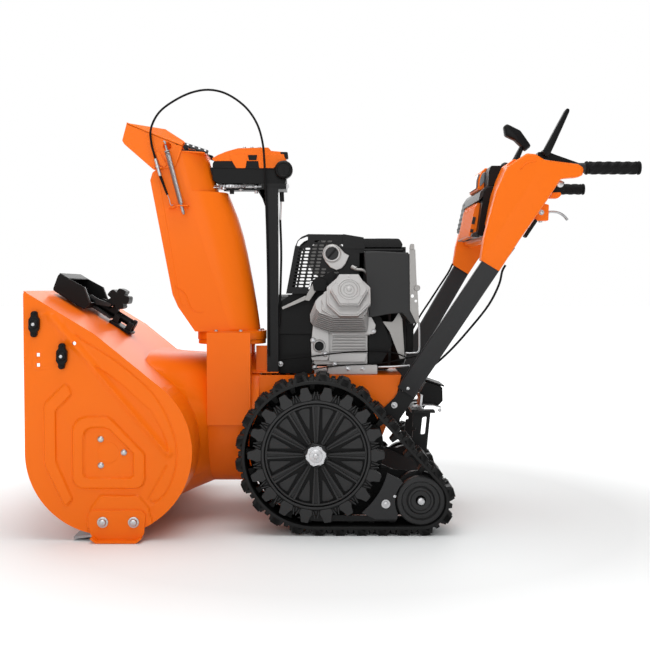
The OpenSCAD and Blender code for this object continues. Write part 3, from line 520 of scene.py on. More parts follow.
def plate_relief(x, z):
    """How far the pressed side plate stands proud of flat, in mm."""
    edge = 1.5
    bearing_outer = rounded([(-649, 131), (-473, 131), (-473, 216), (-560, 307), (-649, 307)],
                            [32, 26, 12, 20, 78], 8)
    bearing_inner = rounded([(-622, 156), (-500, 156), (-500, 218), (-563, 281), (-622, 281)],
                            [12, 12, 14, 30, 62], 8)
    channel = rounded([(-662, 392), (-718, 338), (-718, 190), (-668, 84), (-650, 104), (-690, 196),
                       (-690, 322), (-650, 362)], [16, 22, 60, 9, 9, 60, 18, 14], 8)
    skid = rounded([(-622, 30), (-606, 80), (-582, 113), (-489, 113), (-464, 84), (-450, 30)], 12)
    pocket = rounded([(-613, 452), (-532, 391), (-457, 322), (-431, 276), (-419, 246), (-409, 212)], 6)
    knobs = rounded([(-748, 560), (-748, 418), (-690, 430), (-660, 560)], 20)
    relief = np.zeros(x.shape)
    for outline, height in ((bearing_outer, 3.2), (bearing_inner, -3.2), (channel, 2.8), (skid, 2.8),
                            (knobs, 0.9)):
        relief += height * stretch_of(inside_depth(x, z, outline), -edge, edge)
    crease_start, crease_end = Vector((-716, 572)), Vector((-405, 206))
    run = (crease_end - crease_start).normalized()
    off = (x - crease_start.x) * run.y - (z - crease_start.y) * run.x
    along = (x - crease_start.x) * run.x + (z - crease_start.y) * run.y
    length = (crease_end - crease_start).length
    strip = stretch_of(along, 6, 30) * (1 - stretch_of(along, length - 14, length))
    ridge = np.exp(-(off / 9.0) ** 2)
    relief = relief * (1 - 0.75 * ridge * strip) + 4.2 * ridge * strip
    relief -= 2.6 * stretch_of(inside_depth(x, z, pocket), -1, 3.5)
    rim = smooth_path([(-640, 508, 0), (-610, 486, 0), (-532, 436, 0), (-446, 356, 0), (-403, 268, 0),
                       (-396, 190, 0), (-420, 122, 0), (-452, 92, 0)], 6)
    rib = [(-420, 186), (-440, 148), (-464, 104), (-457, 94), (-446, 98)]
    for line in ([(q.x, q.y) for q in rim], rib):
        relief -= 1.3 * np.exp(-(line_distance(x, z, line) / 2.2) ** 2)
    return 2.1 * relief * stretch_of(x - FRONT_X, 2, 8) + 3.4


def side_plates():
    """Pressed steel side plates with their stiffening ribs."""
    columns, rows = 170, 185
    turn = np.linspace(0, math.pi, columns + 1)
    x = AUGER[0] - HOUSING_R * np.cos(turn)
    low, high = plate_edges(x)
    t = np.linspace(0, 1, rows + 1)
    xs = np.repeat(x[:, None], rows + 1, 1)
    zs = low[:, None] + (high - low)[:, None] * t[None, :]
    proud = np.maximum(plate_relief(xs, zs), 0.6)
    piece = Piece("side_plates_pressed", "orange_paint", "machine")

    verts = [(xs[i, j], -PLATE_Y - proud[i, j] + 3.4, zs[i, j])
             for i in range(columns + 1) for j in range(rows + 1)]
    step = rows + 1
    faces = [[i * step + j, (i + 1) * step + j, (i + 1) * step + j + 1, i * step + j + 1]
             for i in range(columns) for j in range(rows)]
    rim = [i * step for i in range(columns + 1)]
    rim += [columns * step + j for j in range(1, rows + 1)]
    rim += [i * step + rows for i in range(columns - 1, -1, -1)]
    rim += [j for j in range(rows - 1, 0, -1)]
    inner = len(verts)
    verts += [(verts[k][0], -PLATE_Y + 3, verts[k][2]) for k in rim]
    n = len(rim)
    faces += [[rim[k], rim[(k + 1) % n], inner + (k + 1) % n, inner + k] for k in range(n)]
    faces.append([inner + k for k in range(n)])
    piece.add(verts, faces).mirrored()
    cutter = Piece("plate_holes", "orange_paint", None)
    for z in (434, 459):
        cutter.block((-735.5, -PLATE_Y - 20, z - 4.3), (-727, PLATE_Y + 20, z + 4.3))
    cutter.rod((-642, -PLATE_Y - 20, 487), (-642, PLATE_Y + 20, 487), 5, 20)
    plates = piece.done("side_plates", bevel=0)
    cut(plates, cutter)


def cut(piece, cutter):
    """Takes the cutter's shape out of the piece for good."""
    mesh = bpy.data.meshes.new("cutter")
    mesh.from_pydata([v * MM for v in cutter.verts], [], cutter.faces)
    tool = bpy.data.objects.new("cutter", mesh)
    bpy.context.scene.collection.objects.link(tool)
    boolean = piece.modifiers.new("cut", "BOOLEAN")
    boolean.operation = "DIFFERENCE"
    boolean.solver = "EXACT"
    boolean.object = tool
    bpy.context.view_layer.update()
    graph = bpy.context.evaluated_depsgraph_get()
    result = bpy.data.meshes.new_from_object(piece.evaluated_get(graph))
    piece.modifiers.remove(boolean)
    piece.data = result
    piece.data.materials.clear()
    piece.data.materials.append(materials[piece["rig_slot"]])
    piece.data.set_sharp_from_angle(angle=math.radians(35))
    bpy.data.objects.remove(tool)


def plate_hardware():
    """What is bolted to the side plates: bearing bolts, skid shoes and wing knobs."""
    bolts = Piece("bearing_bolts", "zinc", "machine")
    shoes = Piece("skid_shoes_pressed", "orange_paint", "machine")
    shoe_bolts = Piece("skid_shoe_bolts", "zinc", "machine")
    knobs = Piece("wing_knobs", "black_plastic", "machine")
    studs = Piece("wing_knob_studs", "zinc", "machine")

    face = -PLATE_Y
    for x, z in ((-580.6, 251.5), (-523.7, 218.7), (-580.6, 186.8)):
        bolts.turned((x, face, z), NEAR, [(0, 8), (1.2, 8), (3.4, 6.2), (4.6, 3.4), (5.0, 0.5)], 24)
    bolts.turned((AUGER[0], face + 3, AUGER[1]), FAR, [(0, 36), (3, 36), (5, 30), (22, 27), (26, 24)], 36)
    outline = rounded([(-589, 0.4), (-491, 0.4), (-474, 19), (-470, 66), (-480, 78), (-600, 78), (-610, 66),
                       (-606, 19)], [6, 6, 8, 8, 8, 8, 8, 8])
    shoes.across(outline, face - 10, face - 5)
    shoes.turned((AUGER[0], face, AUGER[1]), NEAR, [(-1, 26), (0.7, 26), (0.9, 24)], 40)
    lip = rounded([(-589, 0.4), (-491, 0.4), (-476, 12), (-480, 15), (-493, 5), (-587, 5), (-600, 15),
                   (-604, 12)], 2, 3)
    shoes.across(lip, -387.4, face - 9)
    for x in (-574.8, -499.3):
        shoe_bolts.turned((x, face - 10, 48.5), NEAR, [(0, 13.5), (2.4, 13.5), (2.8, 12.5)], 28)
        shoe_bolts.turned((x, face - 12.6, 48.5), NEAR,
                          [(0, 9.5), (2.5, 9.5), (5.5, 7.6), (6.8, 4), (7.0, 0.5)], 24)
    for x, z in ((-738.7, 534), (-672, 456)):
        quarter = [(5, 31), (8, 26), (8, 19), (13, 12)]
        half = [(0, 32), *quarter, *((a, -b) for a, b in reversed(quarter))]
        wing = half + [(-a, -b) for a, b in half]
        knobs.across([(x + a + 0.03 * b, z + b) for a, b in wing], face - 13, face - 1)
        for side in (-1, 1):
            knobs.across([(x - 5, z + side * 22), (x + 5, z + side * 22), (x + 3, z + side * 29),
                          (x - 3, z + side * 29)], face - 16, face - 12)
        knobs.turned((x, face - 12, z), NEAR, [(0, 12.5), (4, 11.5), (5.5, 9)], 24)
        studs.turned((x, face - 16, z), NEAR, [(0, 4.2), (3, 4.2), (3.8, 3)], 16)

    for piece in (bolts, shoes, shoe_bolts, knobs, studs):
        piece.mirrored()
    bolts.done("auger_bearings", bevel=0.4)
    shoes.done("skid_shoes", bevel=1.2)
    shoe_bolts.done(bevel=0.3)
    knobs.done("cutter_knobs", bevel=1.6)
    studs.done(bevel=0.2)


side_plates()
plate_hardware()


# ---- Tracks ----

WHEEL = (-53, 203)
IDLER = (211, 86.5)
WHEEL_R = 179
IDLER_R = 62.5
BELT = 9
CLEAT = 15
TRACK_IN = 186
TRACK_OUT = 311
CLEATS = 26

run_length = math.dist(WHEEL, IDLER)
run_angle = math.degrees(math.atan2(IDLER[1] - WHEEL[1], IDLER[0] - WHEEL[0]))
wrap = math.degrees(math.acos((WHEEL_R - IDLER_R) / run_length))
straight = math.sqrt(run_length ** 2 - (WHEEL_R - IDLER_R) ** 2)
wheel_run = WHEEL_R * math.radians(360 - 2 * wrap)
idler_run = IDLER_R * math.radians(2 * wrap)
loop_run = wheel_run + 2 * straight + idler_run


def belt_at(s, lift=0.0):
    """Place and outward direction on the track at distance s along it, lifted off its inner face."""
    s %= loop_run
    centre, radius, ahead = WHEEL, WHEEL_R, 0.0
    if s < wheel_run:
        turn = run_angle + wrap + math.degrees(s / WHEEL_R)
    elif s < wheel_run + straight:
        turn, ahead = run_angle - wrap, s - wheel_run
    elif s < wheel_run + straight + idler_run:
        centre, radius = IDLER, IDLER_R
        turn = run_angle - wrap + math.degrees((s - wheel_run - straight) / IDLER_R)
    else:
        centre, radius = IDLER, IDLER_R
        turn, ahead = run_angle + wrap, s - wheel_run - straight - idler_run
    out = Vector((math.cos(math.radians(turn)), math.sin(math.radians(turn))))
    along = Vector((-out.y, out.x))
    return Vector(centre) + out * (radius + lift) + along * ahead, out, along


def on_belt(s):
    """Matrix that carries X along the track, Y across it and Z outward to a place on its outer face."""
    place, out, along = belt_at(s, BELT)
    return Matrix(((along.x, 0, out.x, place.x), (0, 1, 0, 0), (along.y, 0, out.y, place.y), (0, 0, 0, 1)))


def tapered_block(piece, x0, x1, y0, y1, z0, z1, draft):
    """A block that narrows by draft on each side towards its top."""
    low = [(x0, y0, z0), (x1, y0, z0), (x1, y1, z0), (x0, y1, z0)]
    top = [(x0 + draft, y0 + draft, z1), (x1 - draft, y0 + draft, z1), (x1 - draft, y1 - draft, z1),
           (x0 + draft, y1 - draft, z1)]
    piece.add(low + top, [[3, 2, 1, 0], [4, 5, 6, 7], [0, 1, 5, 4], [1, 2, 6, 5], [2, 3, 7, 6], [3, 0, 4, 7]])


def rubber_tracks():
    """Moulded tracks: a belt with full-width cleats, edge lugs and inner drive lugs."""
    piece = Piece("moulded_tracks", "tread_rubber", "track_frames")
    middle = -(TRACK_IN + TRACK_OUT) / 2
    steps = 150

    def cleat(i):
        edge = TRACK_OUT - TRACK_IN
        tapered_block(piece, -11, 11, -TRACK_OUT + 1, -TRACK_IN - 1, -2, CLEAT, 3.0)
        for side in (-1, 1):
            outer = middle + side * edge / 2
            near, far = sorted((outer - side * 1, outer - side * 25))
            tapered_block(piece, -19, 19, near, far, -2, CLEAT - 3.5, 3.0)
            tapered_block(piece, -14, 14, near, far, -2, CLEAT, 3.0)
            inner = middle + side * 22
            near, far = sorted((inner, inner + side * 13))
            tapered_block(piece, -16, 16, near, far, -2, CLEAT - 1, 2.5)

    def small_lug():
        for side in (-1, 1):
            outer = middle + side * (TRACK_OUT - TRACK_IN) / 2
            near, far = sorted((outer - side * 1, outer - side * 15))
            tapered_block(piece, -7, 7, near, far, -2, 7, 2.0)
        tapered_block(piece, -6, 6, middle - 16, middle + 16, -2, 5, 2.0)

    profile = [(-TRACK_OUT, 0.8), (-TRACK_OUT, BELT - 1.6), (-TRACK_OUT + 2, BELT), (-TRACK_IN - 2, BELT),
               (-TRACK_IN, BELT - 1.6), (-TRACK_IN, 0.8), (-TRACK_IN - 1, 0), (-TRACK_OUT + 1, 0)]
    sections = []
    for i in range(steps):
        places = [(belt_at(loop_run * i / steps, lift)[0], y) for y, lift in profile]
        sections.append([(place.x, y, place.y) for place, y in places])
    piece.loft(sections, ring=True)
    for i in range(CLEATS):
        piece.at(on_belt((i + 0.5) * loop_run / CLEATS), lambda: cleat(i))
        piece.at(on_belt(i * loop_run / CLEATS), small_lug)
        piece.at(on_belt(i * loop_run / CLEATS),
                 lambda: tapered_block(piece, -8, 8, middle - 20, middle + 20, -BELT - 0.5, -BELT - 18, 2.5))

    piece.mirrored().done("rubber_tracks", bevel=1.3, angle=30)


def drive_wheels():
    """Spoked drive wheels: pale panels and double spokes, sprocket pads and a steel hub, over a dark dish
    whose black is painted shade in the gaps and inside the wheel.
    """
    wheel = Piece("spoked_wheels", "charcoal_plastic", "axle")
    dish = Piece("wheel_shade_dishes", "black_plastic", "axle")
    hubs = Piece("wheel_hubs", "zinc", "axle")
    x, z = WHEEL
    spokes, pads = 12, 18
    face = -TRACK_OUT + 3
    back = -TRACK_IN - 6
    origin = (x, face, z)
    wheel.turned(origin, FAR, [(0, 131), (0, 136), (3, 138.5), (26, 138.5), (26, 131)], 96, ring=True)
    wheel.turned(origin, FAR, [(3, 123), (2, 124), (2, 127), (4, 128.5), (14, 128.5), (14, 123)], 96,
                 ring=True)
    wheel.turned(origin, FAR, [(0, 24), (0, 29), (4, 33), (14, 34), (14, 24)], 6, ring=True)
    # Painted shade: the black dish behind the panels and spokes darkens the gaps, the inner rim and disc are
    # black where the front rim is charcoal, and the sleeves inside the wheel hide the orange body behind it.
    dish.hoop(origin, FAR, 14, 18, 22, 133, 96)
    dish.hoop(origin, FAR, 6, 26, 137, 154, 96)
    dish.turned((x, back, z), NEAR, [(0, 130), (0, 137), (3, 138.5), (26, 138.5), (26, 130)], 96, ring=True)
    dish.hoop((x, back - 1, z), NEAR, 0, 26, 137, 152, 96)
    dish.hoop((x, back, z), NEAR, 0, 3, 137, 175, 96)
    dish.hoop((x, face + 12, z), FAR, 0, 96, 133, 136, 96)
    dish.hoop((x, face + 12, z), FAR, 0, 100, 18, 32, 40)

    def spoke():
        wheel.extrude([(30, face + 7, -5), (30, face + 7, 5), (124, face + 7, 10.5), (124, face + 7, -10.5)],
                      (0, 8, 0))
        for side in (-1, 1):
            wheel.extrude([(33, face + 1, side * 1.4), (33, face + 1, side * 4.2),
                           (124, face + 1, side * 9.8), (124, face + 1, side * 4.2)], (0, 7, 0))

    panel = rounded([(60, 0), (118, -15.5), (121, 0), (118, 15.5)], [3, 5, 20, 5], 4)
    for i in range(spokes):
        wheel.at(placed((x, 0, z), 360 * i / spokes, "Y"), spoke)
        wheel.at(placed((x, 0, z), 360 * (i + 0.5) / spokes, "Y"),
                 lambda: wheel.across(panel, face + 10.5, face + 15))
    pad = rounded([(138, -13), (148, -17), (158, -12), (172, -9), (172, 9), (158, 12), (148, 17), (138, 13)],
                  [1, 3, 3, 4, 4, 3, 3, 1], 3)

    def marks():
        for side in (-1, 1):
            wheel.across([(141, side * 9), (141, side * 6.5), (158, side * 1.5), (161, side * 4)],
                         face + 1, face + 8)
        wheel.across([(140, -2), (140, 2), (150, 1), (150, -1)], face + 2, face + 8)

    for i in range(pads):
        turn = placed((x, 0, z), 360 * i / pads, "Y")
        wheel.at(turn, lambda: wheel.across(pad, face, face + 27))
        # Painted shade: the inner pads are black where the front pads are charcoal.
        dish.at(turn, lambda: dish.across(pad, back - 27, back))
        wheel.at(placed((x, 0, z), 360 * (i + 0.5) / pads, "Y"), marks)
    hubs.hexagon((x, face + 3, z), (x, face - 11.6, z), 46, 30)
    hubs.turned((x, face - 11.6, z), NEAR, [(0, 17), (1, 17), (1.6, 15.5)], 40)
    hubs.turned((x, face - 13, z), NEAR, [(0, 7.5), (2, 7.5), (3, 6)], 24)

    wheel.mirrored().done("drive_wheels", bevel=0.9, angle=32)
    dish.mirrored().done(bevel=0.6, angle=32)
    hubs.mirrored().done(bevel=0.7)


def idler_wheels():
    """Rear idlers with grooved rims and a sealed hub."""
    rims = Piece("idler_rims", "charcoal_plastic", "idlers")
    hub = Piece("idler_hubs", "zinc", "idlers")
    x, z = IDLER

    face = -TRACK_OUT + 12
    for y, way in ((face, 1), (-TRACK_IN - 12, -1)):
        rims.turned((x, y, z), (0, way, 0), [(0, 52), (0, 59), (2, 61.8), (22, 61.8), (24, 59), (24, 52),
                                             (20, 50), (20, 34), (12, 32), (12, 13), (5, 13), (5, 24),
                                             (2, 27), (2, 31), (5, 34), (9, 36), (9, 46), (4, 48),
                                             (0, 49.5)], 80, ring=True)
    rims.hoop((x, face + 12, z), FAR, 0, 78, 13, 35, 48)
    hub.turned((x, face, z), NEAR, [(0, 10), (5, 10), (8, 8.5), (9.5, 5)], 32)

    rims.mirrored().done("idlers", bevel=0.8)
    hub.mirrored().done(bevel=0.3)


rubber_tracks()
drive_wheels()
idler_wheels()


# ---- Engine ----

COVER_PLANE = placed((20, -204, 622), 66, "X")


def flat(y):
    """Matrix that stands a drawing in X and Z upright at Y, with its front towards -Y."""
    return Matrix(((1, 0, 0, 0), (0, 0, -1, y), (0, 1, 0, 0), (0, 0, 0, 1)))


def circle(x, z, r, n):
    return arc(x, z, r, 0, 360 * (n - 1) / n, n - 1)


def slot_hole(x, z, length, width):
    r = width / 2
    return arc(x + length / 2 - r, z, r, -90, 90, 6) + arc(x - length / 2 + r, z, r, 90, 270, 6)


def band(points, thickness):
    """Outline of a bent strip: the line of points, and the same line moved by the thickness to its right."""
    line = [Vector(p) for p in points]
    moved = []
    for i, p in enumerate(line):
        before = (p - line[i - 1]).normalized() if i else (line[1] - p).normalized()
        after = (line[i + 1] - p).normalized() if i < len(line) - 1 else before
        normal = Vector((before.y + after.y, -before.x - after.x)).normalized()
        lean = max(normal.dot(Vector((before.y, -before.x))), 0.4)
        moved.append(tuple(p + normal * thickness / lean))
    return [tuple(p) for p in line] + moved[::-1]


def engine_block():
    """Cast crankcase and finned cylinder, with the parts bolted to it."""
    cast = Piece("engine_castings", "cast_aluminium", "machine")
    base = rounded([(-26, 391.5), (110, 391.5), (110, 416), (60, 418), (-20, 414)], 3, 3)
    cast.across(base, -124, 110)
    cast.slab([(-60, 416), (84, 416), (84, 500), (78, 512), (-58, 512), (-64, 498)], 6, 4, -108, 112)
    cast.slab([(-66, 428), (-24, 428), (-20, 440), (-20, 496), (-28, 530), (-62, 530), (-68, 470)], 7, 4,
              -124, -60)
    cast.slab([(-20, 424), (76, 424), (84, 448), (-20, 448)], 3, 3, -120, -100)
    for i in range(6):
        z = 453 + 8.2 * i
        cast.slab(rect(-12 + 0.5 * i, z, 80, z + 3.6), 1.2, 2, -119, -104)
    cast.slab([(-14, 496), (90, 496), (90, 511), (66, 514), (-10, 514)], 3, 3, -128, -100)
    cast.rod((-6, -100, 404), (-6, -122, 404), 9, 24, 1)
    cast.rod((-46, -118, 467), (-46, -130, 467), 17, 32, 2)
    cast.rod((-62, -116, 482), (-62, -128, 482), 8, 20, 1)
    cast.rod((-30, -116, 446), (-30, -127, 446), 8, 20, 1)
    cast.rod((-50, -96, 512), (-50, -96, 548), 11, 24, 2)

    def barrel():
        fin = [(-91, -36), (-89, -58), (-78, -74), (-34, -90), (60, -90), (66, -60), (62, 2), (-57, -4),
               (-80, -22)]
        core = rounded([(-54, -8), (-60, -60), (-34, -76), (54, -76), (56, -8)], 8, 3)
        cast.upright(core, -96, -2)
        for i in range(9):
            grow = 0.84 + 0.02 * i
            ring = [(x * grow, -27 + (v + 27) * grow) for x, v in fin]
            cast.upright(rounded(ring, [10, 6, 8, 12, 8, 10, 10, 10, 8], 4), -12 - 10 * i, -8 - 10 * i)
        cast.upright(rounded([(-52, -8), (-60, -34), (-50, -66), (58, -70), (62, -30), (58, -4)], 10, 4), -8,
                     -1)

    cast.at(COVER_PLANE, barrel)
    cast.slab([(60, 500), (98, 500), (104, 524), (92, 546), (70, 546)], 4, 3, -150, -120)
    cast.rod((98, -136, 508), (98, -150, 508), 7, 20, 1)
    cast.done("engine", bevel=0.8)

    dark = Piece("engine_black_parts", "black_plastic", "machine")
    dark.turned((84, 10, 490), (1, 0, 0), [(0, 94), (4, 98), (58, 98), (66, 92)], 64)
    dark.turned((150, 10, 490), (1, 0, 0), [(0, 88), (3, 90), (30, 90), (40, 84), (44, 70), (44, 30),
                                            (46, 28), (46, 0.5)], 64)
    for k in range(24):
        dark.at(placed((192, 10, 490), 15 * k, "X"), lambda: dark.block((0, -2, 36), (4, 2, 66)))
    dark.turned((-46, -130, 467), NEAR, [(0, 12.5), (5, 12.5), (7, 10.5), (7, 4)], 32)
    dark.slab([(-40, 628), (-14, 628), (-2, 656), (-14, 666), (-40, 650)], 6, 3, -150, -110)
    dark.slab(rect(20, 640, 72, 716), 6, 3, -132, -60)
    dark.block((-72, -100, 494), (-54, -60, 566))
    dark.block((-70, -98, 540), (-20, 60, 628))
    dark.block((60, -136, 628), (96, -60, 716))
    dark.block((78, -60, 690), (190, 100, 734))
    dark.slab([(-174, 498), (-173, 530), (-162, 566), (-147, 588), (-128, 600), (-110, 612), (-60, 612),
               (-60, 498)], [3, 20, 20, 12, 8, 4, 4, 3], 4, -110, 60)
    dark.block((150, -60, 440), (212, 60, 540))
    dark.slab([(86, 418), (120, 418), (150, 470), (120, 545), (86, 545)], 6, 3, -112, -60)
    dark.slab([(-60, 614), (-30, 614), (-24, 640), (-50, 652), (-64, 640)], 5, 3, -160, -130)
    dark.done(bevel=0.8)

    trim = Piece("engine_fasteners", "zinc", "machine")
    for x, z, y, size in ((31, 406, -124, 13), (-4, 418, -122, 10), (-62, 482, -128, 9), (-30, 446, -127, 9),
                          (98, 508, -150, 8), (60, 520, -150, 8), (-58, 407, -100, 11), (70, 406, -124, 10)):
        trim.bolt((x, y, z), NEAR, size)
    trim.hose([(218, -150, 532), (219, -150, 490), (217, -150, 455), (200, -149, 450), (183, -148, 450)],
                          5, 2.6, 10)
    trim.hose([(112, -128, 411), (150, -129, 412), (196, -129, 415)], 4, 3.4, 10)
    trim.done(bevel=0.6)
    trim = Piece("engine_brackets", "exhaust_steel", "machine")
    trim.hose([(40, -150, 678), (53, -156, 671), (72, -158, 668), (84, -156, 652), (86, -152, 636)], 6,
              4.2, 12)
    trim.slab([(172, 428), (183, 432), (176, 539), (167, 557), (150, 531), (123, 533), (142, 506)],
              [3, 3, 6, 3, 8, 2, 20], 5, -122, -117)
    trim.tube([(40, -150, 678), (52, -155, 672)], 6, 12)
    trim.slab([(-146, 571), (-143, 565), (-78, 592), (-82, 602)], 2, 3, -141, -137)
    trim.slab([(-86, 590), (-72, 588), (-46, 626), (-60, 640)], 3, 3, -146, -132)
    trim.done(bevel=0.6)

    wires = Piece("throttle_wires", "rubber", "machine")
    wires.hose([(-147, -134, 432), (-64, -134, 440), (10, -133, 449), (72, -133, 453), (146, -131, 450),
                            (190, -130, 436)], 5, 1.7, 8)
    wires.hose([(-61, -130, 406), (22, -130, 416), (117, -131, 421), (213, -133, 440)], 5, 1.7, 8)
    wires.done(bevel=0)


def rocker_cover():
    """Six-sided valve cover with rings on its face, on an eight-sided foot."""
    cover = Piece("valve_cover", "cast_aluminium", "machine")

    def shape():
        for r, low, high in ((61, 0, 13), (61 * 0.93, 12, 15)):
            cover.upright(rounded(arc(10, -27, r, 22.5, 337.5, 7), 6, 4), low, high)
        for r, low, high in ((50, 14, 28), (50 * 0.92, 27, 31)):
            cover.upright(rounded(arc(11, -17, r, 0, 300, 5), 4, 4), low, high)
        origin = (11, -17, 31)
        for inner, outer in ((26.5, 29), (21, 22.5), (12, 14.5)):
            cover.turned(origin, UP, rect(-1, inner, 1.4, outer), 64, ring=True)
        cover.turned(origin, UP, [(-1, 7), (1.6, 6), (2, 3)], 32)
        for x, v in arc(11, -17, 36, 30, 330, 5):
            cover.turned((x, v, 31), UP, [(-1, 3.2), (0.6, 3)], 16)

    cover.at(COVER_PLANE, shape)
    cover.done("rocker_cover", bevel=1.0)


GUARD = [(-133, 607), (-109, 734), (-103, 748), (-92, 758), (-75, 765), (17, 764), (72, 755), (74, 728)]


def muffler_guard():
    """Perforated sheet guard around the silencer."""
    near, far = -135, 147
    guard = Piece("perforated_guard", "black_paint", "machine")
    outline = [*GUARD, (71, 640), (-70, 640), (-78, 607)]
    holes = [rounded([(-106, 733), (-101, 749), (-76, 759), (-76, 745), (-90, 734)], [3, 10, 3, 10, 6], 4)]
    outlet = Vector((-12, 700))
    for row in range(13):
        z = 735 - 9 * row
        left = -133 + (z - 607) * 24 / 127 + 17
        x = left
        limit = 14 if z > 660 else -60 + (z - 610) * 0.9
        while x < limit:
            covered = (Vector((x, z)) - outlet).length < 31 or (x > -40 and 672 < z < 735)
            if not covered and not (z > 726 and x < -70):
                holes.append(slot_hole(x, z, 12.5, 5))
            x += 17.5
    for x in (-52, -35, -18):
        holes.append(slot_hole(x, 746, 12.5, 5))
    guard.sheet(outline, holes, flat(near), 2)
    window = rounded([(-118, 622), (-99, 728), (-88, 746), (-70, 756), (14, 756), (62, 748), (62, 648),
                      (-66, 648), (-72, 618)], 6, 4)
    guard.sheet(outline, [window], flat(far), 2)
    front = Matrix.Translation((-133, 0, 607)) @ Matrix.Rotation(-math.atan2(24, 127), 4, "Y").inverted()
    slots = []
    for row in range(9):
        for column in range(8):
            slots.append([(b, a) for a, b in slot_hole(-108 + 32 * column, 14 + 12.5 * row, 20, 5)])
    length = math.hypot(24, 127)
    stand = front @ Matrix(((0, 0, -1, 0), (0, 1, 0, 0), (1, 0, 0, 0), (0, 0, 0, 1)))
    guard.sheet(rect(0, near, length, far), slots, stand, 2)
    guard.across(band(GUARD[4:], 2), near - 1, far + 1)
    for y0, y1 in ((near - 1, near + 8), (far - 8, far + 1)):
        guard.across(band(GUARD[1:5], 2), y0, y1)
    guard.slab([(17, 726), (74, 726), (72, 756), (17, 765)], 2, 3, near - 5, near + 2)
    guard.done("muffler_guard", bevel=0.5, angle=50)

    outlet_plate = Piece("exhaust_outlet", "cast_aluminium", "machine")
    drop = rounded([(-38, 712), (-34, 728), (-12, 740), (8, 730), (22, 714), (34, 708), (24, 686), (14, 674),
                    (0, 669), (-16, 676), (-30, 692)], [14, 12, 18, 10, 6, 2, 5, 4, 3, 4, 6], 5)
    outlet_plate.across(drop, near - 13, near - 3)
    outlet_plate.turned((-12, near - 12, 713), NEAR, [(0, 16.5), (4, 16.5), (5, 18), (5, 22), (0, 24)], 48,
                        ring=True)
    outlet_plate.done(bevel=1.6)
    cap = Piece("exhaust_cap", "charcoal_paint", "machine")
    cap.turned((-12, near - 10, 713), NEAR, [(0, 17), (5, 17), (6.5, 15)], 40)
    cap.done(bevel=0.4)
    # Painted shade: the slot is a thin gloss-black bar laid on the cap's face, standing in for the dark
    # inside the opening.
    groove = Piece("exhaust_cap_slot", "gloss_black", "machine")
    groove.at(placed((-12, 0, 713), -48, "Y"),
              lambda: groove.block((-15, near - 17.2, -2.6), (15, near - 16, 2.6)))
    groove.done(bevel=0.2)


def hood_and_tank():
    """Moulded snow hood with its steel bracket, and the fuel tank."""
    hood = Piece("moulded_hood", "charcoal_plastic", "machine")
    outline = rounded([(72, 716), (116, 717), (190, 712), (196, 700), (194, 561), (210, 530), (196, 527),
                       (173, 558), (132, 553), (86, 544)], [5, 3, 6, 4, 10, 2, 2, 16, 20, 6], 5)
    hood.across(outline, -176, -90)
    hood.across(band([(76, 719), (188, 715)], 5), -174, -60)
    hood.done("snow_hood", bevel=3.2)
    bracket = Piece("hood_bracket", "exhaust_steel", "machine")
    strip = rounded([(190, 723), (205, 723), (209, 636), (212, 604), (216, 531), (209, 529), (192, 563)],
                    [3, 3, 10, 10, 2, 2, 6], 4)
    holes = [circle(198, 601, 4.6, 20), circle(207, 588, 3.6, 20)]
    bracket.sheet(strip, holes, flat(-180), 4)
    bracket.slab([(190, 722), (203, 722), (202, 737), (192, 737)], 3, 3, -182, -172)
    bracket.rod((210, -172, 622), (210, -186, 622), 8, 20, 1)
    bracket.done(bevel=0.7)
    tank = Piece("moulded_tank", "gloss_black", "machine")
    shell = rounded([(70, 728), (178, 728), (182, 741), (172, 757), (70, 757)], [2, 4, 10, 12, 3], 6)
    tank.across(shell, -60, 150)
    tank.slab(rect(74, 722, 184, 728.5), 2, 3, -64, 154)
    tank.done("fuel_tank", bevel=5)
    cap = Piece("ribbed_fuel_cap", "black_plastic", "fuel_cap")
    ring = []
    for k in range(48):
        r, turn = 27 + 1.2 * (k % 2), math.tau * k / 48
        ring.append((135 + r * math.cos(turn), 60 + r * math.sin(turn)))
    cap.upright(ring, 755, 760.5)
    cap.turned((135, 60, 760.5), UP, [(-1, 24), (1, 22), (1.6, 18)], 48)
    cap.block((114, 57, 760), (156, 63, 763))
    cap.rod((135, 60, 741), (135, 60, 756), 21, 32)
    cap.done("fuel_cap", bevel=0.6)


engine_block()
rocker_cover()
muffler_guard()
hood_and_tank()


# ---- Handles and controls ----

SIDE_Y = 274
GRIP_Z = 923


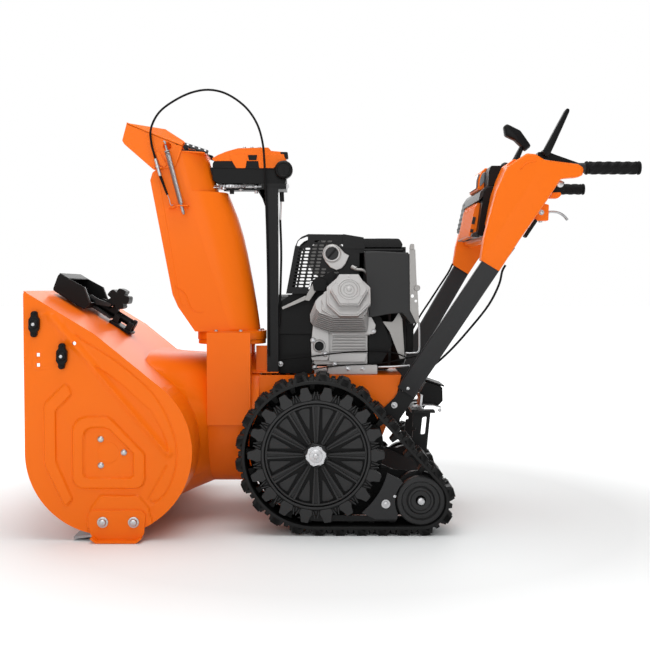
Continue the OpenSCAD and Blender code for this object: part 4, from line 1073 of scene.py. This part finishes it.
def handle_pods():
    """Crowned plastic covers over the handle joints, with the small parts fixed to them."""
    pods = Piece("moulded_pods", "orange_plastic", "machine")
    black = Piece("pod_covers", "black_plastic", "machine")
    bolts = Piece("pod_fasteners", "zinc", "machine")
    outline = rounded([(473, 958), (495, 956), (517, 942), (602, 931), (615, 922), (613, 902), (598, 899),
                       (560, 896), (526, 843), (460, 747), (406, 664), (360, 692), (368, 748), (397, 860),
                       (426, 927)], [12, 8, 10, 14, 8, 10, 10, 16, 30, 30, 2, 2, 20, 30, 30], 6)
    pods.across(outline, -SIDE_Y - 13, -SIDE_Y + 16)
    centre = Vector((478, 868))
    crown = [tuple(centre + (Vector(p) - centre) * 0.955) for p in outline]
    rim = [(x, -SIDE_Y - 13, z) for x, z in outline]
    face = [(x, -SIDE_Y - 17, z) for x, z in crown]
    n = len(rim)
    pods.add(rim + face, [list(range(n, 2 * n))] + [[i, (i + 1) % n, n + (i + 1) % n, n + i]
                                                    for i in range(n)])
    pods.hose([(457, -SIDE_Y - 17, 918), (466, -SIDE_Y - 17.4, 929), (478, -SIDE_Y - 17.4, 936),
                           (495, -SIDE_Y - 17, 939)], 5, [1.6] * 16, 8)
    pods.slab([(501, 792), (534, 792), (535, 832), (512, 838)], 3, 3, -262, -238)
    pods.slab([(534, 848), (556, 848), (565, 856), (563, 863), (542, 862)], 4, 3, -268, -246)
    bolts.bolt((516, -262, 813), NEAR, 9, 1.5)
    bolts.bolt((516, -250, 792), (0, 0, -1), 8, 1.4)
    black.slab([(505, 950), (506, 964), (528, 966), (551, 957), (608, 937), (608, 928)], 2, 3, -266, -238)
    black.slab([(500, 797), (505, 790), (477, 748), (470, 752)], 2, 3, -270, -254)
    black.slab([(541, 862), (555, 894), (573, 890), (573, 868), (558, 860)], 4, 3, -264, -240)
    bolts.turned((562, -264, 884), NEAR, [(0, 9), (2, 9), (3, 7.5)], 28)
    for piece in (pods, black, bolts):
        piece.mirrored()
    pods.done("side_panels", bevel=2.2, angle=30)
    black.done(bevel=1.0)
    bolts.done(bevel=0.3)


def grip_body():
    """Rubber grips with slanted ribs and a flange at each end."""
    grip = Piece("ribbed_grips", "rubber", "machine")
    steps, sides = 132, 72
    sections = []
    for i in range(steps + 1):
        x = 622 + 138 * i / steps
        end = min(x - 622, 760 - x)
        section = []
        for k in range(sides):
            turn = math.tau * k / sides
            wave = math.sin(3 * turn + (x - 622) * math.tau / 24)
            radius = 15.9 + 0.6 * max(min(1.6 * wave, 0.8), -0.8) / 0.8
            if end < 1.5:
                radius = 15.6
            elif end < 6:
                radius = 17.0
            elif end < 9:
                radius = 14.6
            section.append((x, -SIDE_Y + radius * math.cos(turn), GRIP_Z + radius * math.sin(turn)))
        sections.append(section)
    grip.loft(sections)
    grip.mirrored().done("grips", bevel=0, angle=50)


def hand_levers():
    """Tapered clutch paddles and bent steering triggers."""
    for side, name in ((-1, "left"), (1, "right")):
        paddle = Piece(name + "_paddle", "black_plastic", name + "_clutch_lever")
        y = side * SIDE_Y
        place = placed((525, y, 962), 26, "Y")
        sections = []
        for z, depth, width in ((-9, 14, 20), (-4, 19, 24), (20, 18, 26), (70, 14.5, 25), (112, 11, 23),
                                (118, 8, 19), (120, 4, 13)):
            ring = rounded([(-depth / 2, -width / 2), (depth / 2, -width / 2), (depth / 2, width / 2),
                            (-depth / 2, width / 2)], min(depth, width) * 0.3, 4)
            sections.append([(a, b, z) for a, b in ring])
        paddle.at(place, lambda: paddle.loft(sections))
        paddle.rod((520, y - 15, 963), (520, y + 15, 963), 6.5, 24, 0.8)
        paddle.at(place, lambda: paddle.block((-1.6, -15, 10), (1.6, 15, 60)))
        paddle.done(name + "_clutch_lever", bevel=0.8)
        trigger = Piece(name + "_bent_trigger", "zinc", name + "_trigger")
        y = side * 240
        line = smooth_path([(528, y, 813), (545, y, 816), (563, y, 814), (577, y, 806), (587, y, 795)], 6)
        trigger.tube(line, 3.4, 12, flat=2.2)
        trigger.rod((532, y - 12, 812), (532, y + 12, 812), 6, 24, 0.6)
        trigger.done(name + "_trigger", bevel=0.3)


def dash():
    """Console between the handles: orange body, black box with a ribbed front, and the headlight."""
    body = Piece("console_body", "orange_plastic", "machine")
    body.slab([(394, 752), (390, 790), (404, 862), (418, 905), (432, 936), (447, 948), (500, 930),
               (478, 862), (438, 782), (412, 744)], [4, 10, 20, 12, 8, 8, 6, 20, 20, 6], 4, -257, 257)
    body.done("dash_console", bevel=2)
    shell = Piece("console_shell", "black_plastic", "machine")
    shell.slab([(371, 762), (387, 876), (396, 886), (425, 892), (412, 806), (386, 757)], [5, 5, 4, 4, 10, 5],
               4, -158, 158)
    shell.slab([(398, 890), (400, 930), (405, 943), (434, 943), (430, 892)], [4, 8, 6, 4, 4], 4, -158, 158)
    shell.slab([(362, 786), (380, 870), (394, 892), (404, 872), (384, 776)], 4, 3, 122, 200)
    for k in range(6):
        shell.block((362 + 3.2 * k, 128, 792 + 14 * k), (378 + 3.2 * k, 194, 798 + 14 * k))
    shell.done(bevel=1.6)
    trim = Piece("console_trim", "charcoal_plastic", "machine")
    trim.slab([(372, 846), (378, 874), (392, 888), (424, 897), (424, 889), (392, 872)], 3, 3, -155, 120)
    for edge in ([(364, 812), (360, 793)], [(358, 780), (356, 771)]):
        trim.across(band(edge, -8), -122, 104)
    for y0, y1 in ((-150, -60), (40, 130)):
        trim.slab([(356, 758), (359, 767), (374, 772), (384, 764), (374, 755)], 3, 3, y0, y1)
    trim.done(bevel=1.2)
    face = Piece("console_face", "orange_plastic", "machine")
    face.slab([(353, 760), (369, 838), (378, 850), (392, 846), (380, 764), (364, 756)], 4, 3, -120, 102)
    for y in range(-108, 100, 26):
        face.across(band([(372, 848), (369, 836), (354, 762)], 1.5), y, y + 4)
    face.done(bevel=1.2)

    bezel = Piece("headlight_bezel", "orange_plastic", "machine")
    bezel.slab([(383, 888), (385, 915), (391, 934), (402, 946), (414, 944), (413, 915), (403, 884)],
               [3, 6, 10, 6, 4, 6, 4], 4, -82, 82)
    bezel.done(bevel=3)
    lens = Piece("headlight_lens", "lamp_lens", "machine")
    lens.across(band([(382.5, 892), (384, 914), (389.5, 930)], -4), -70, 70)
    for y in range(-62, 70, 20):
        lens.across(band([(381.5, 895), (383, 913), (388, 927)], -2), y - 2, y + 2)
    lens.slab([(386, 893), (388, 914), (393, 930), (403, 937), (408, 925), (397, 905)], 3, 3, -84, -80)
    lens.done("headlight", bevel=0.8)


def small_levers():
    """Boot-shaped chute joystick and the speed lever."""
    joystick = Piece("boot_joystick", "black_plastic", "chute_joystick")
    knob = rounded([(455, 1062), (465, 1068), (501, 1050), (531, 1008), (515, 994), (505, 1005), (485, 1024),
                    (459, 1036)], [8, 8, 12, 8, 5, 8, 12, 8], 5)
    centre = Vector((487, 1035))
    sections = []
    for y, scale in ((-66, 0.78), (-63, 0.93), (-57, 1.0), (-43, 1.0), (-37, 0.93), (-34, 0.78)):
        sections.append([(centre.x + (x - centre.x) * scale, y, centre.y + (z - centre.y) * scale)
                         for x, z in knob])
    joystick.loft(sections)
    joystick.tube([(470, -50, 905), (486, -50, 955), (506, -50, 1004)], [7.5, 6.5, 6], 16)
    joystick.rod((470, -72, 905), (470, -28, 905), 8, 24, 1)
    joystick.turned((472, -50, 916), (0.3, 0, 1), [(0, 14), (4, 13), (8, 9), (12, 10), (16, 7), (20, 7)], 28)
    joystick.done("chute_joystick", bevel=1.2)
    lever = Piece("speed_selector", "black_plastic", "speed_lever")
    lever.tube([(470, 90, 900), (478, 90, 930), (486, 90, 960)], [5.5, 4.8, 4.5], 14)
    lever.turned((483, 90, 946), (0.2, 0, 1), [(0, 7), (4, 11), (12, 15), (22, 16), (30, 13), (35, 7),
                                               (36, 1)], 32)
    lever.rod((470, 78, 900), (470, 102, 900), 7, 24, 1)
    lever.done("speed_lever", bevel=0.6)


def handle_bars():
    """Charcoal box-section handles, and their bolts."""
    low, bend, top = Vector((184, -169, 352)), Vector((386, -274, 678)), Vector((548, -274, 900))
    tubes = Piece("folded_handles", "charcoal_paint", "machine")
    bolts = Piece("handle_bolts", "zinc", "machine")

    def bar(start, end, wide, thick):
        run = end - start
        place = (Matrix.Translation(start) @ Matrix.Rotation(math.atan2(run.x, run.z), 4, "Y")
                 @ Matrix.Rotation(math.asin(-run.y / run.length), 4, "X"))
        ring = rounded([(-wide / 2, -thick / 2), (wide / 2, -thick / 2), (wide / 2, thick / 2),
                        (-wide / 2, thick / 2)], 4, 4)
        tubes.at(place, lambda: tubes.upright(ring, -2, run.length + 2))

    bar(low, bend, 50, 22)
    bar(bend, bend.lerp(top, 0.25), 46, 22)
    tubes.rod((545, -274, GRIP_Z), (624, -274, GRIP_Z), 12.7, 24)
    tubes.mirrored().done("handle_tubes", bevel=0, angle=30)
    bolts.bolt((153, -156, 312), NEAR, 11, 1.5)
    bolts.bolt((187, -180, 359), NEAR, 8, 1.5)
    bolts.mirrored().done(bevel=0.3)


handle_pods()
grip_body()
hand_levers()
dash()
small_levers()
handle_bars()


# ---- Chute, deflector and gearbox ----

CHUTE_Y = -80
CHUTE_HALF = 75
FOLD = 34
ROD_TOP = Vector((-446, -175.5, 994))
ROD_WAY = Vector((math.sin(math.radians(14.65)), 0, -math.cos(math.radians(14.65))))


def deflector():
    """Folded deflector: two cheeks, a roof that slopes down at each edge, and its pivot ears."""
    shell = Piece("folded_deflector", "orange_paint", "deflector")
    cheek = rounded([(-549.5, 1054), (-562, 1008), (-556, 998), (-479, 931), (-423, 940), (-407, 983),
                     (-405, 997)], [3, 5, 5, 8, 14, 8, 2], 4)
    near, far = CHUTE_Y - CHUTE_HALF - 5, CHUTE_Y + CHUTE_HALF + 5
    hole = circle(-444, 993, 11, 24)
    shell.sheet(cheek, [hole], flat(near + 1.5), 3)
    shell.sheet(cheek, [], flat(far - 1.5), 3)
    ridge = [(-549.5, 1054), (-454, 1043), (-404, 1011)]
    eave = [(-549.5, 1054), (-470, 1021), (-405, 996)]
    rows = []
    for (x0, z0), (x1, z1) in zip(eave, ridge):
        rows += [(x0, near, z0), (x1, near + FOLD, z1), (x1, far - FOLD, z1), (x0, far, z0)]
    low = [(x, y, z - 3) for x, y, z in rows]
    faces = []
    for i in range(2):
        for k in range(3):
            a = 4 * i + k
            faces += [[a, a + 1, a + 5, a + 4], [12 + a, 12 + a + 4, 12 + a + 5, 12 + a + 1]]
    border = [0, 1, 2, 3, 7, 11, 10, 9, 8, 4]
    faces += [[border[k], border[(k + 1) % 10], 12 + border[(k + 1) % 10], 12 + border[k]] for k in range(10)]
    shell.add(rows + low, faces)
    for y0, y1 in ((CHUTE_Y - 55, CHUTE_Y - 11), (CHUTE_Y + 11, CHUTE_Y + 55)):
        shell.across([(-404, 1010), (-392, 997), (-394.5, 994), (-405, 1006)], y0, y1)
        shell.rod((-398, y0, 992), (-398, y1, 992), 5.5, 20)
    for x in (-480, -462):
        shell.slab([(x, 938), (x, 934), (x + 5, 934), (x + 5, 938)], 0.5, 2, near - 10, near + 1)
    shell.slab([(-474, 976), (-466, 980), (-444, 944), (-452, 938), (-462, 944)], [3, 3, 5, 4, 4], 4,
               near - 4, near + 1)
    shell.done("deflector", bevel=1.0)
    lines = Piece("deflector_folds", "orange_paint", "deflector")
    for y in (near - 0.3, far + 0.3):
        lines.tube([(x, y, z) for x, z in eave], 1.6, 8)
    lines.done(bevel=0)


def chute_details():
    """Sloped top of the chute with its hinge strap, pressed line and flange bolts."""
    near, far = CHUTE_Y - CHUTE_HALF + 1, CHUTE_Y + CHUTE_HALF - 1
    top = Piece("chute_top_cover", "orange_paint", "chute")
    upper = [(-388, near, 986), (-388, near + FOLD, 1003), (-388, far - FOLD, 1003), (-388, far, 986),
             (-356, near + 30, 976), (-346, near + 54, 983), (-346, far - 54, 983), (-356, far - 30, 976)]
    lower = [(x, y, z - 3 if x < -350 else z - 6) for x, y, z in upper]
    top.add(upper + lower, [[0, 1, 5, 4], [1, 2, 6, 5], [2, 3, 7, 6], [8, 12, 13, 9], [9, 13, 14, 10],
                            [10, 14, 15, 11], [0, 8, 9, 1], [1, 9, 10, 2], [2, 10, 11, 3], [3, 11, 15, 7],
                            [7, 15, 14, 6], [6, 14, 13, 5], [5, 13, 12, 4], [4, 12, 8, 0]])
    top.hose([(-427, near - 0.5, 628), (-412, near - 0.7, 620), (-398, near - 0.7, 604),
              (-388, near - 0.7, 578), (-376, near - 0.7, 562), (-352, near - 0.5, 559)], 6, 1.7, 8)
    top.hose([(-469, near - 0.4, 918), (-417, near - 0.4, 612), (-400, near - 0.4, 574)], 8, 1.3, 8)
    top.done(bevel=0.8)
    strap = Piece("hinge_strap", "black_paint", "chute")
    bolts = Piece("chute_bolts", "zinc", "chute")
    lean = math.atan2(17, FOLD)
    run = Vector((56, 0, -19)).normalized()
    for y, way in ((near, 1), (far, -1)):
        start = Vector((-402, y + way * 2, 992))
        side = Vector((0, way * math.cos(lean), math.sin(lean)))
        up = run.cross(side).normalized()
        up = up if up.z > 0 else -up
        ring = rounded(rect(0, 0, 66, 22), 4, 3)
        strap.extrude([start + run * a + side * b + up * 3 for a, b in ring], up * 3)
        for a in (9, 25, 41, 57):
            bolts.turned(start + run * a + side * 10 + up * 6, up,
                         [(0, 4.6), (1.6, 4.2), (2.8, 2.4), (3, 0.3)], 16)
    strap.done(bevel=0.7)
    for x, y in arc(-282, CHUTE_Y, 85, 20, 335, 7):
        bolts.bolt((x, y, 507.5), UP, 8, 1.4)
    bolts.done(bevel=0.3)


def housing_back(z):
    """X of the middle of the housing's rolled sheet at height z: an arc, and a flat above it."""
    radius = HOUSING_R - 1.5
    rise = z - AUGER[1]
    lean = math.radians(50.9)
    flat_x = (radius - rise * math.sin(lean)) / math.cos(lean)
    if math.atan2(rise, flat_x) > lean:
        return AUGER[0] + flat_x
    return AUGER[0] + math.sqrt(max(0, radius ** 2 - rise ** 2))


def chute_back():
    """Bulged back of the chute, which swells out between its foot and the gearbox."""
    back = Piece("chute_back_shell", "orange_paint", "chute")
    sections = []
    for z, out in ((514, 0.5), (540, 5), (572, 10), (632, 18), (710, 27), (760, 31), (810, 31), (845, 28),
                   (877, 24)):
        straight_back = -206 - (z - 513) * math.tan(math.radians(16.8))
        middle = straight_back - 78
        ring = []
        for grow, turns in ((0.0, range(21)), (2.0, range(20, -1, -1))):
            for k in turns:
                t = math.pi * k / 20
                ring.append((middle + (straight_back + out - middle - grow) * math.sin(t),
                             CHUTE_Y + (75.6 - grow) * math.cos(t), z))
        sections.append(ring)
    back.loft(sections)
    back.done(bevel=0, angle=40)


def housing_funnel():
    """Pressed funnel that joins the rolled housing to the round impeller housing."""
    funnel = Piece("housing_funnel", "orange_paint", "machine")
    outside, inside = [], []
    for x, half, low, top, power in ((-500, 240, 34, 452, 4.0), (-484, 240, 36, 452, 4.0),
                                     (-440, 226, 48, 447, 3.0), (-390, 204, 68, 444.5, 2.4),
                                     (-338, 179, 86.5, 443.5, 2.0)):
        for rings, shrink in ((outside, 0), (inside, 2.5)):
            ring = []
            for k in range(64):
                c, d = math.cos(math.tau * k / 64), math.sin(math.tau * k / 64)
                y = math.copysign(abs(c) ** (2 / power), c) * (half - shrink)
                z = (low + top) / 2 + math.copysign(abs(d) ** (2 / power), d) * ((top - low) / 2 - shrink)
                ring.append((max(x, housing_back(z)), y, z))
            rings.append(ring)
    funnel.loft(outside + inside[::-1], ring=True)
    funnel.done(bevel=0, angle=30)


def spring_and_rod():
    """Wound return spring between the chute's tab and the rod's collar."""
    spring = Piece("wound_spring", "steel", None)
    turns, steps = 40, 14
    start, end = 19.5, 156.5
    side = ROD_WAY.orthogonal().normalized()
    other = ROD_WAY.cross(side)
    line = []
    for i in range(turns * steps + 1):
        t = i / (turns * steps)
        turn = math.tau * turns * t
        line.append(ROD_TOP + ROD_WAY * (start + (end - start) * t)
                    + 5.6 * (math.cos(turn) * side + math.sin(turn) * other))
    spring.tube(line, 1.45, 6)
    coil = spring.done("deflector_spring", bevel=0)
    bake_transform(coil)
    nuts = Piece("spring_rod_ends", "steel", "spring_rod")
    nuts.rod(ROD_TOP, ROD_TOP + ROD_WAY * 186, 3.0, 20, 1)
    nuts.turned(ROD_TOP + ROD_WAY * 14, ROD_WAY, [(0, 5), (1, 7.4), (4, 7.4), (5, 5)], 24)
    nuts.rod(ROD_TOP + ROD_WAY * 158, ROD_TOP + ROD_WAY * 182, 4.2, 20, 1)
    nuts.tube([ROD_TOP + Vector((0, -1, 2)), ROD_TOP + Vector((-1, -2, 8)), ROD_TOP + Vector((-5, -2, 10))],
              2.6, 10)
    nuts.done("spring_rod", bevel=0.3)


DEFLECTOR_CABLE = [
    (-432, -168, 839), (-450, -167, 886), (-467, -166, 930), (-474, -166, 960), (-484, -168, 1000),
    (-484, -170, 1040), (-462, -166, 1082), (-420, -158, 1115), (-375, -152, 1136), (-330, -148, 1142),
    (-285, -146, 1130), (-240, -144, 1098), (-210, -144, 1055), (-195, -146, 1005), (-190, -146, 950),
    (-188, -142, 890), (-186, -138, 830), (-184, -136, 760), (-182, -135, 650), (-181, -135, 540),
    (-180, -135, 440)
]
CABLE_STOP = (-461, -167, 914)
HAND_CABLES = [[(426, -264, 680), (418, -262, 664), (411, -255, 630), (388, -236, 578), (346, -206, 518),
                (300, -185, 462), (255, -165, 418), (215, -145, 392), (178, -130, 380)],
               [(359, 264, 696), (345, 262, 668), (318, 254, 628), (288, 246, 583), (258, 230, 540),
                (234, 212, 500), (210, 190, 462), (190, 170, 430), (176, 150, 408), (158, 136, 398)] ]


def cables():
    """The deflector's cable and the two cables down the handles."""
    casing = Piece("deflector_cable", "rubber", None)
    casing.hose(DEFLECTOR_CABLE[2:], 6, 2.9, 12)
    loop = casing.done("control_cables", bevel=0)
    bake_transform(loop)
    ends = Piece("cable_end", "zinc", "chute")
    ends.rod((-474, -166, 960), CABLE_STOP, 4.2, 16, 0.8)
    ends.rod((-469, -166, 942), (-467, -166, 935), 6.2, 16, 0.8)
    ends.hose([(-437, -168, 850), (-435, -168, 842), (-432, -168, 838), (-428, -168, 840)], 5, 1.2, 8)
    ends.tube([(-443, -168, 868), (-436, -168, 848)], 1.1, 8)
    ends.done(bevel=0)
    boot = Piece("cable_boot", "rubber", "chute")
    way = Vector((-443, -168, 866)) - Vector(CABLE_STOP)
    profile = []
    for k in range(10):
        d = way.length * k / 9
        profile += [(d - 1.6, 4.4 - 0.12 * k), (d, 3.4 - 0.12 * k)]
    boot.turned(CABLE_STOP, way, profile, 20)
    boot.done(bevel=0)
    hand = Piece("hand_cables", "rubber", "machine")
    for route in HAND_CABLES:
        hand.hose(route, 5, 2.9, 10)
    hand.done(bevel=0)


def gearbox():
    """Chute gearbox: black case, two-part orange cover, round slotted cap, plate and post."""
    case = Piece("gearbox_housing", "black_plastic", "machine")
    outline = rounded([(-330, 954), (-330, 910), (-318, 901), (-142, 899), (-134, 906), (-134, 950),
                       (-150, 975), (-300, 975), (-318, 970)], [12, 10, 8, 4, 5, 5, 8, 12, 10], 5)
    case.across(outline, CHUTE_Y - 37, CHUTE_Y + 37)
    case.slab([(-346, 944), (-346, 920), (-328, 914), (-328, 946)], 4, 4, CHUTE_Y - 20, CHUTE_Y + 20)
    case.slab([(-326, 946), (-326, 941), (-136, 937), (-136, 942)], 1, 2, CHUTE_Y - 39, CHUTE_Y + 39)
    case.turned((-140, CHUTE_Y - 36, 935), NEAR, [(0, 24), (22, 24), (26, 21)], 44)
    case.turned((-140, CHUTE_Y - 62, 935), NEAR, [(0, 19.5), (2, 19.5), (2, 16.5), (0.5, 16)], 40)
    case.block((-163, CHUTE_Y - 52, 930), (-116, CHUTE_Y - 40, 938))
    case.block((-142, CHUTE_Y - 62.8, 921), (-138, CHUTE_Y - 61, 949))
    case.done("gearbox_case", bevel=2.2)
    cover = Piece("gearbox_lid", "orange_plastic", "machine")
    skin = [(-333, 966), (-316, 976), (-294, 985), (-262, 994), (-181, 996), (-174, 987), (-140, 984),
            (-133, 964)]
    cover.slab([*skin, (-138, 960), (-326, 960)], [4, 6, 8, 8, 6, 4, 6, 4, 2, 2], 4, CHUTE_Y - 38.5,
               CHUTE_Y + 38.5)
    for ring in ([(-283, 968), (-267, 941), (-242, 941), (-236, 978), (-286, 978)],
                 [(-210, 978), (-206, 941), (-168, 941), (-136, 962), (-140, 978)]):
        for y in (CHUTE_Y - 40, CHUTE_Y + 34):
            cover.slab(ring, [3, 4, 4, 3, 3], 3, y, y + 6)
    cover.done("gearbox_cover", bevel=2.0)
    inset = Piece("gearbox_windows", "black_plastic", "machine")
    inset.slab([(-236, 976), (-233, 962), (-213, 962), (-211, 976)], 2, 3, CHUTE_Y - 39.4, CHUTE_Y + 39.4)
    inset.slab([(-150, 984), (-130, 984), (-128, 966), (-146, 966)], 3, 3, CHUTE_Y - 39, CHUTE_Y - 20)
    inset.done(bevel=1.0)
    trim = Piece("gearbox_fasteners", "zinc", "machine")
    trim.across(band([(-336, 889), (-280, 889), (-190, 891), (-134, 891), (-128, 899)], -2), CHUTE_Y - 34,
                CHUTE_Y + 40)
    for x in (-246, -226, -206):
        trim.bolt((x, CHUTE_Y - 24, 995), UP, 8, 1.4)
    trim.rod((-300, -120, 889), (-300, -120, 884), 7, 20)
    trim.bolt((-255, CHUTE_Y - 30, 886), (0, 0, -1), 9, 1.4)
    trim.rod((-148, -118, 852), (-150, -118, 803), 2.6, 14)
    trim.bolt((-150, -110, 418), NEAR, 10, 1.4)
    trim.done(bevel=0.4)
    dark = Piece("post_fittings", "black_plastic", "machine")
    dark.tube([(-146, -118, 878), (-145, -118, 852)], 6, 14)
    dark.hose([(-150, -118, 804), (-147.5, -118, 720), (-149, -118, 640), (-153, -118, 520)], 5, 3.2, 10)
    dark.across([(-206, 884), (-186, 884), (-186, 828)], -119, -115)
    dark.done(bevel=0.3)


def cleanout_tool():
    """Snow clean-out tool: scoop with ribs, shaft, and a scalloped grip."""
    place = Matrix.Translation((-681, 0, 562.8)) @ Matrix.Rotation(math.atan2(105, 172), 4, "Y")
    scoop = Piece("tool_scoop", "black_plastic", "cleanout_tool")
    ribs = Piece("tool_ribs", "charcoal_plastic", "cleanout_tool")

    def shape():
        side = rounded([(-90, 8), (-99, 55), (-21, 59), (14, 30), (8, 8)], [8, 8, 8, 8, 6], 5)
        for y in (-140, 86):
            scoop.across(side, y, y + 4)
        scoop.across(band([(-96, 56), (-88, 10), (6, 10), (10, 28)], -3.5), -138, 88)
        scoop.slab([(-97, 53), (-97, 57), (-70, 57), (-70, 54)], 1, 2, -138, 88)
        scoop.rod((-20, -18, 26), (118, -18, 26), 11, 28, 2)
        scoop.rod((118, -18, 26), (130, -18, 26), 14, 28, 2)
        scoop.slab([(44, 24), (52, 44), (66, 44), (74, 24)], 3, 3, -30, -6)

    def light():
        for y in (-112, -60, 10, 62):
            ribs.slab([(-84, 14), (-86, 24), (0, 24), (2, 14)], 2, 3, y, y + 4)
        for y in (-141, 82):
            ribs.slab([(-22, 60.5), (14, 32), (12, 28), (-22, 56)], 1.5, 2, y, y + 9)
        for y in (-58, 16):
            ribs.slab([(4, 30), (8, 40), (48, 48), (50, 40), (12, 24)], 3, 3, y, y + 6)
        ribs.slab([(0, 12), (2, 18), (66, 16), (66, 10)], 2, 2, -58, 22)

    scoop.at(place, shape)
    lobes = []
    for k in range(90):
        turn = math.tau * k / 90
        dip = max(0.0, math.cos(5 * turn - 2.4)) ** 2
        lobes.append((-600 + (31 - 11 * dip) * math.cos(turn), 592 + (29 - 10 * dip) * math.sin(turn)))
    scoop.across(lobes, -46, 10)
    ribs.at(place, light)
    scoop.done("cleanout_tool", bevel=1.4)
    ribs.done(bevel=1.0)
    clips = Piece("moulded_clips", "black_plastic", "machine")

    def clip():
        clips.upright(rounded(rect(66, -54, 134, 18), 6, 3), 0.2, 7)
        for x in (70, 112):
            for y, way in ((-48, 1), (12, -1)):
                hook = rounded([(y, 3), (y + way * 6, 3), (y + way * 6, 22), (y + way * 11, 27),
                                (y + way * 3, 30), (y, 26)], [1, 1, 2, 2, 3, 3], 3)
                clips.along(hook, x, x + 16)

    clips.at(place, clip)
    clips.done("tool_clips", bevel=0.8)


def rear_fittings():
    """Handle feet, the slotted hitch plates, the track pedal and the skirts inside the tracks, with a black
    disc behind each drive wheel as painted shade.
    """
    plates = Piece("rear_plates", "black_paint", "machine")
    foot = rounded([(112, 292), (128, 268), (155, 256), (216, 345), (180, 372), (152, 330)],
                   [6, 8, 8, 4, 4, 10], 4)
    slot = [(231, 274), (243, 278), (238, 230), (226, 228)]
    hitch = rounded([(206, 288), (253, 288), (241, 168), (230, 166), (202, 200), (205, 238), (213, 240),
                     (213, 246), (205, 250)], [3, 3, 4, 4, 6, 2, 1, 1, 2], 3)

    plates.sheet(foot, [circle(172, 352, 4, 16)], flat(-153), 6)
    plates.sheet(hitch, [rounded(slot, 4, 4)], flat(-118), 5)
    plates.block((206, -150, 290), (262, -110, 296))

    plates.mirrored()
    plates.block((200, -140, 288), (218, 140, 298))
    plates.done("handle_brackets", bevel=0.8)
    trim = Piece("rear_fasteners", "zinc", "machine")
    for y in (-96, -52):
        trim.rod((227, y, 300), (230, y, 334), 5, 20, 1)
        trim.turned((229, y, 300), (0, 0, -1), [(0, 7), (4, 7), (5, 5)], 6)
    trim.across(band([(208, 298), (236, 304), (262, 303), (285, 297)], -2.4), -100, -64)
    trim.bolt((280, -100, 292), NEAR, 8)
    trim.done(bevel=0.4)
    pedal = Piece("moulded_pedal", "black_plastic", "mode_pedal")
    box = rounded([(236, 306), (226, 328), (247, 365), (292, 350), (293, 312), (282, 300)],
                  [6, 6, 8, 6, 6, 8], 5)
    pedal.across(box, -58, 58)
    pedal.across(band([(244, 369), (296, 351)], -4), -62, 62)
    pedal.slab([(224, 278), (236, 278), (256, 310), (244, 314)], 2, 3, -38, 38)
    pedal.rod((230, -60, 282), (230, 60, 282), 8, 24, 1)
    for k in range(5):
        pedal.slab([(252 + 8 * k, 366 - 2.8 * k), (256 + 8 * k, 364.6 - 2.8 * k),
                    (256 + 8 * k, 361 - 2.8 * k), (252 + 8 * k, 362 - 2.8 * k)], 0.8, 2, -56, 56)
    pedal.done("mode_pedal", bevel=1.6)

    skirts = Piece("track_skirts_and_shade_discs", "black_paint", "track_frames")
    inner = rounded([(-120, 42), (-60, 27), (206, 27), (252, 52), (264, 86), (246, 122), (214, 142),
                     (120, 150), (-40, 90)], 8, 4)
    skirts.across(inner, -190, -187.4)
    # Painted shade: a black disc behind the drive wheel, so that the gaps in the wheel read dark instead of
    # showing the floor.
    skirts.sheet(circle(*WHEEL, 176, 72), [circle(*WHEEL, 40, 40)], flat(-188.7), 2.4)
    skirts.slab([(-110, 44), (-56, 34), (150, 34), (150, 46), (-60, 52)], 3, 3, -296, -290)
    skirts.mirrored().done(bevel=0.8)
    frame_bolts = Piece("track_frame_bolts", "zinc", "track_frames")
    frame_bolts.bolt((122, -308, 81), NEAR, 13, 1.7)
    frame_bolts.bolt((144, -306, 100), NEAR, 7, 1.3)
    frame_bolts.mirrored().done(bevel=0.3)


deflector()
chute_details()
chute_back()
housing_funnel()
spring_and_rod()
cables()
gearbox()
cleanout_tool()
rear_fittings()
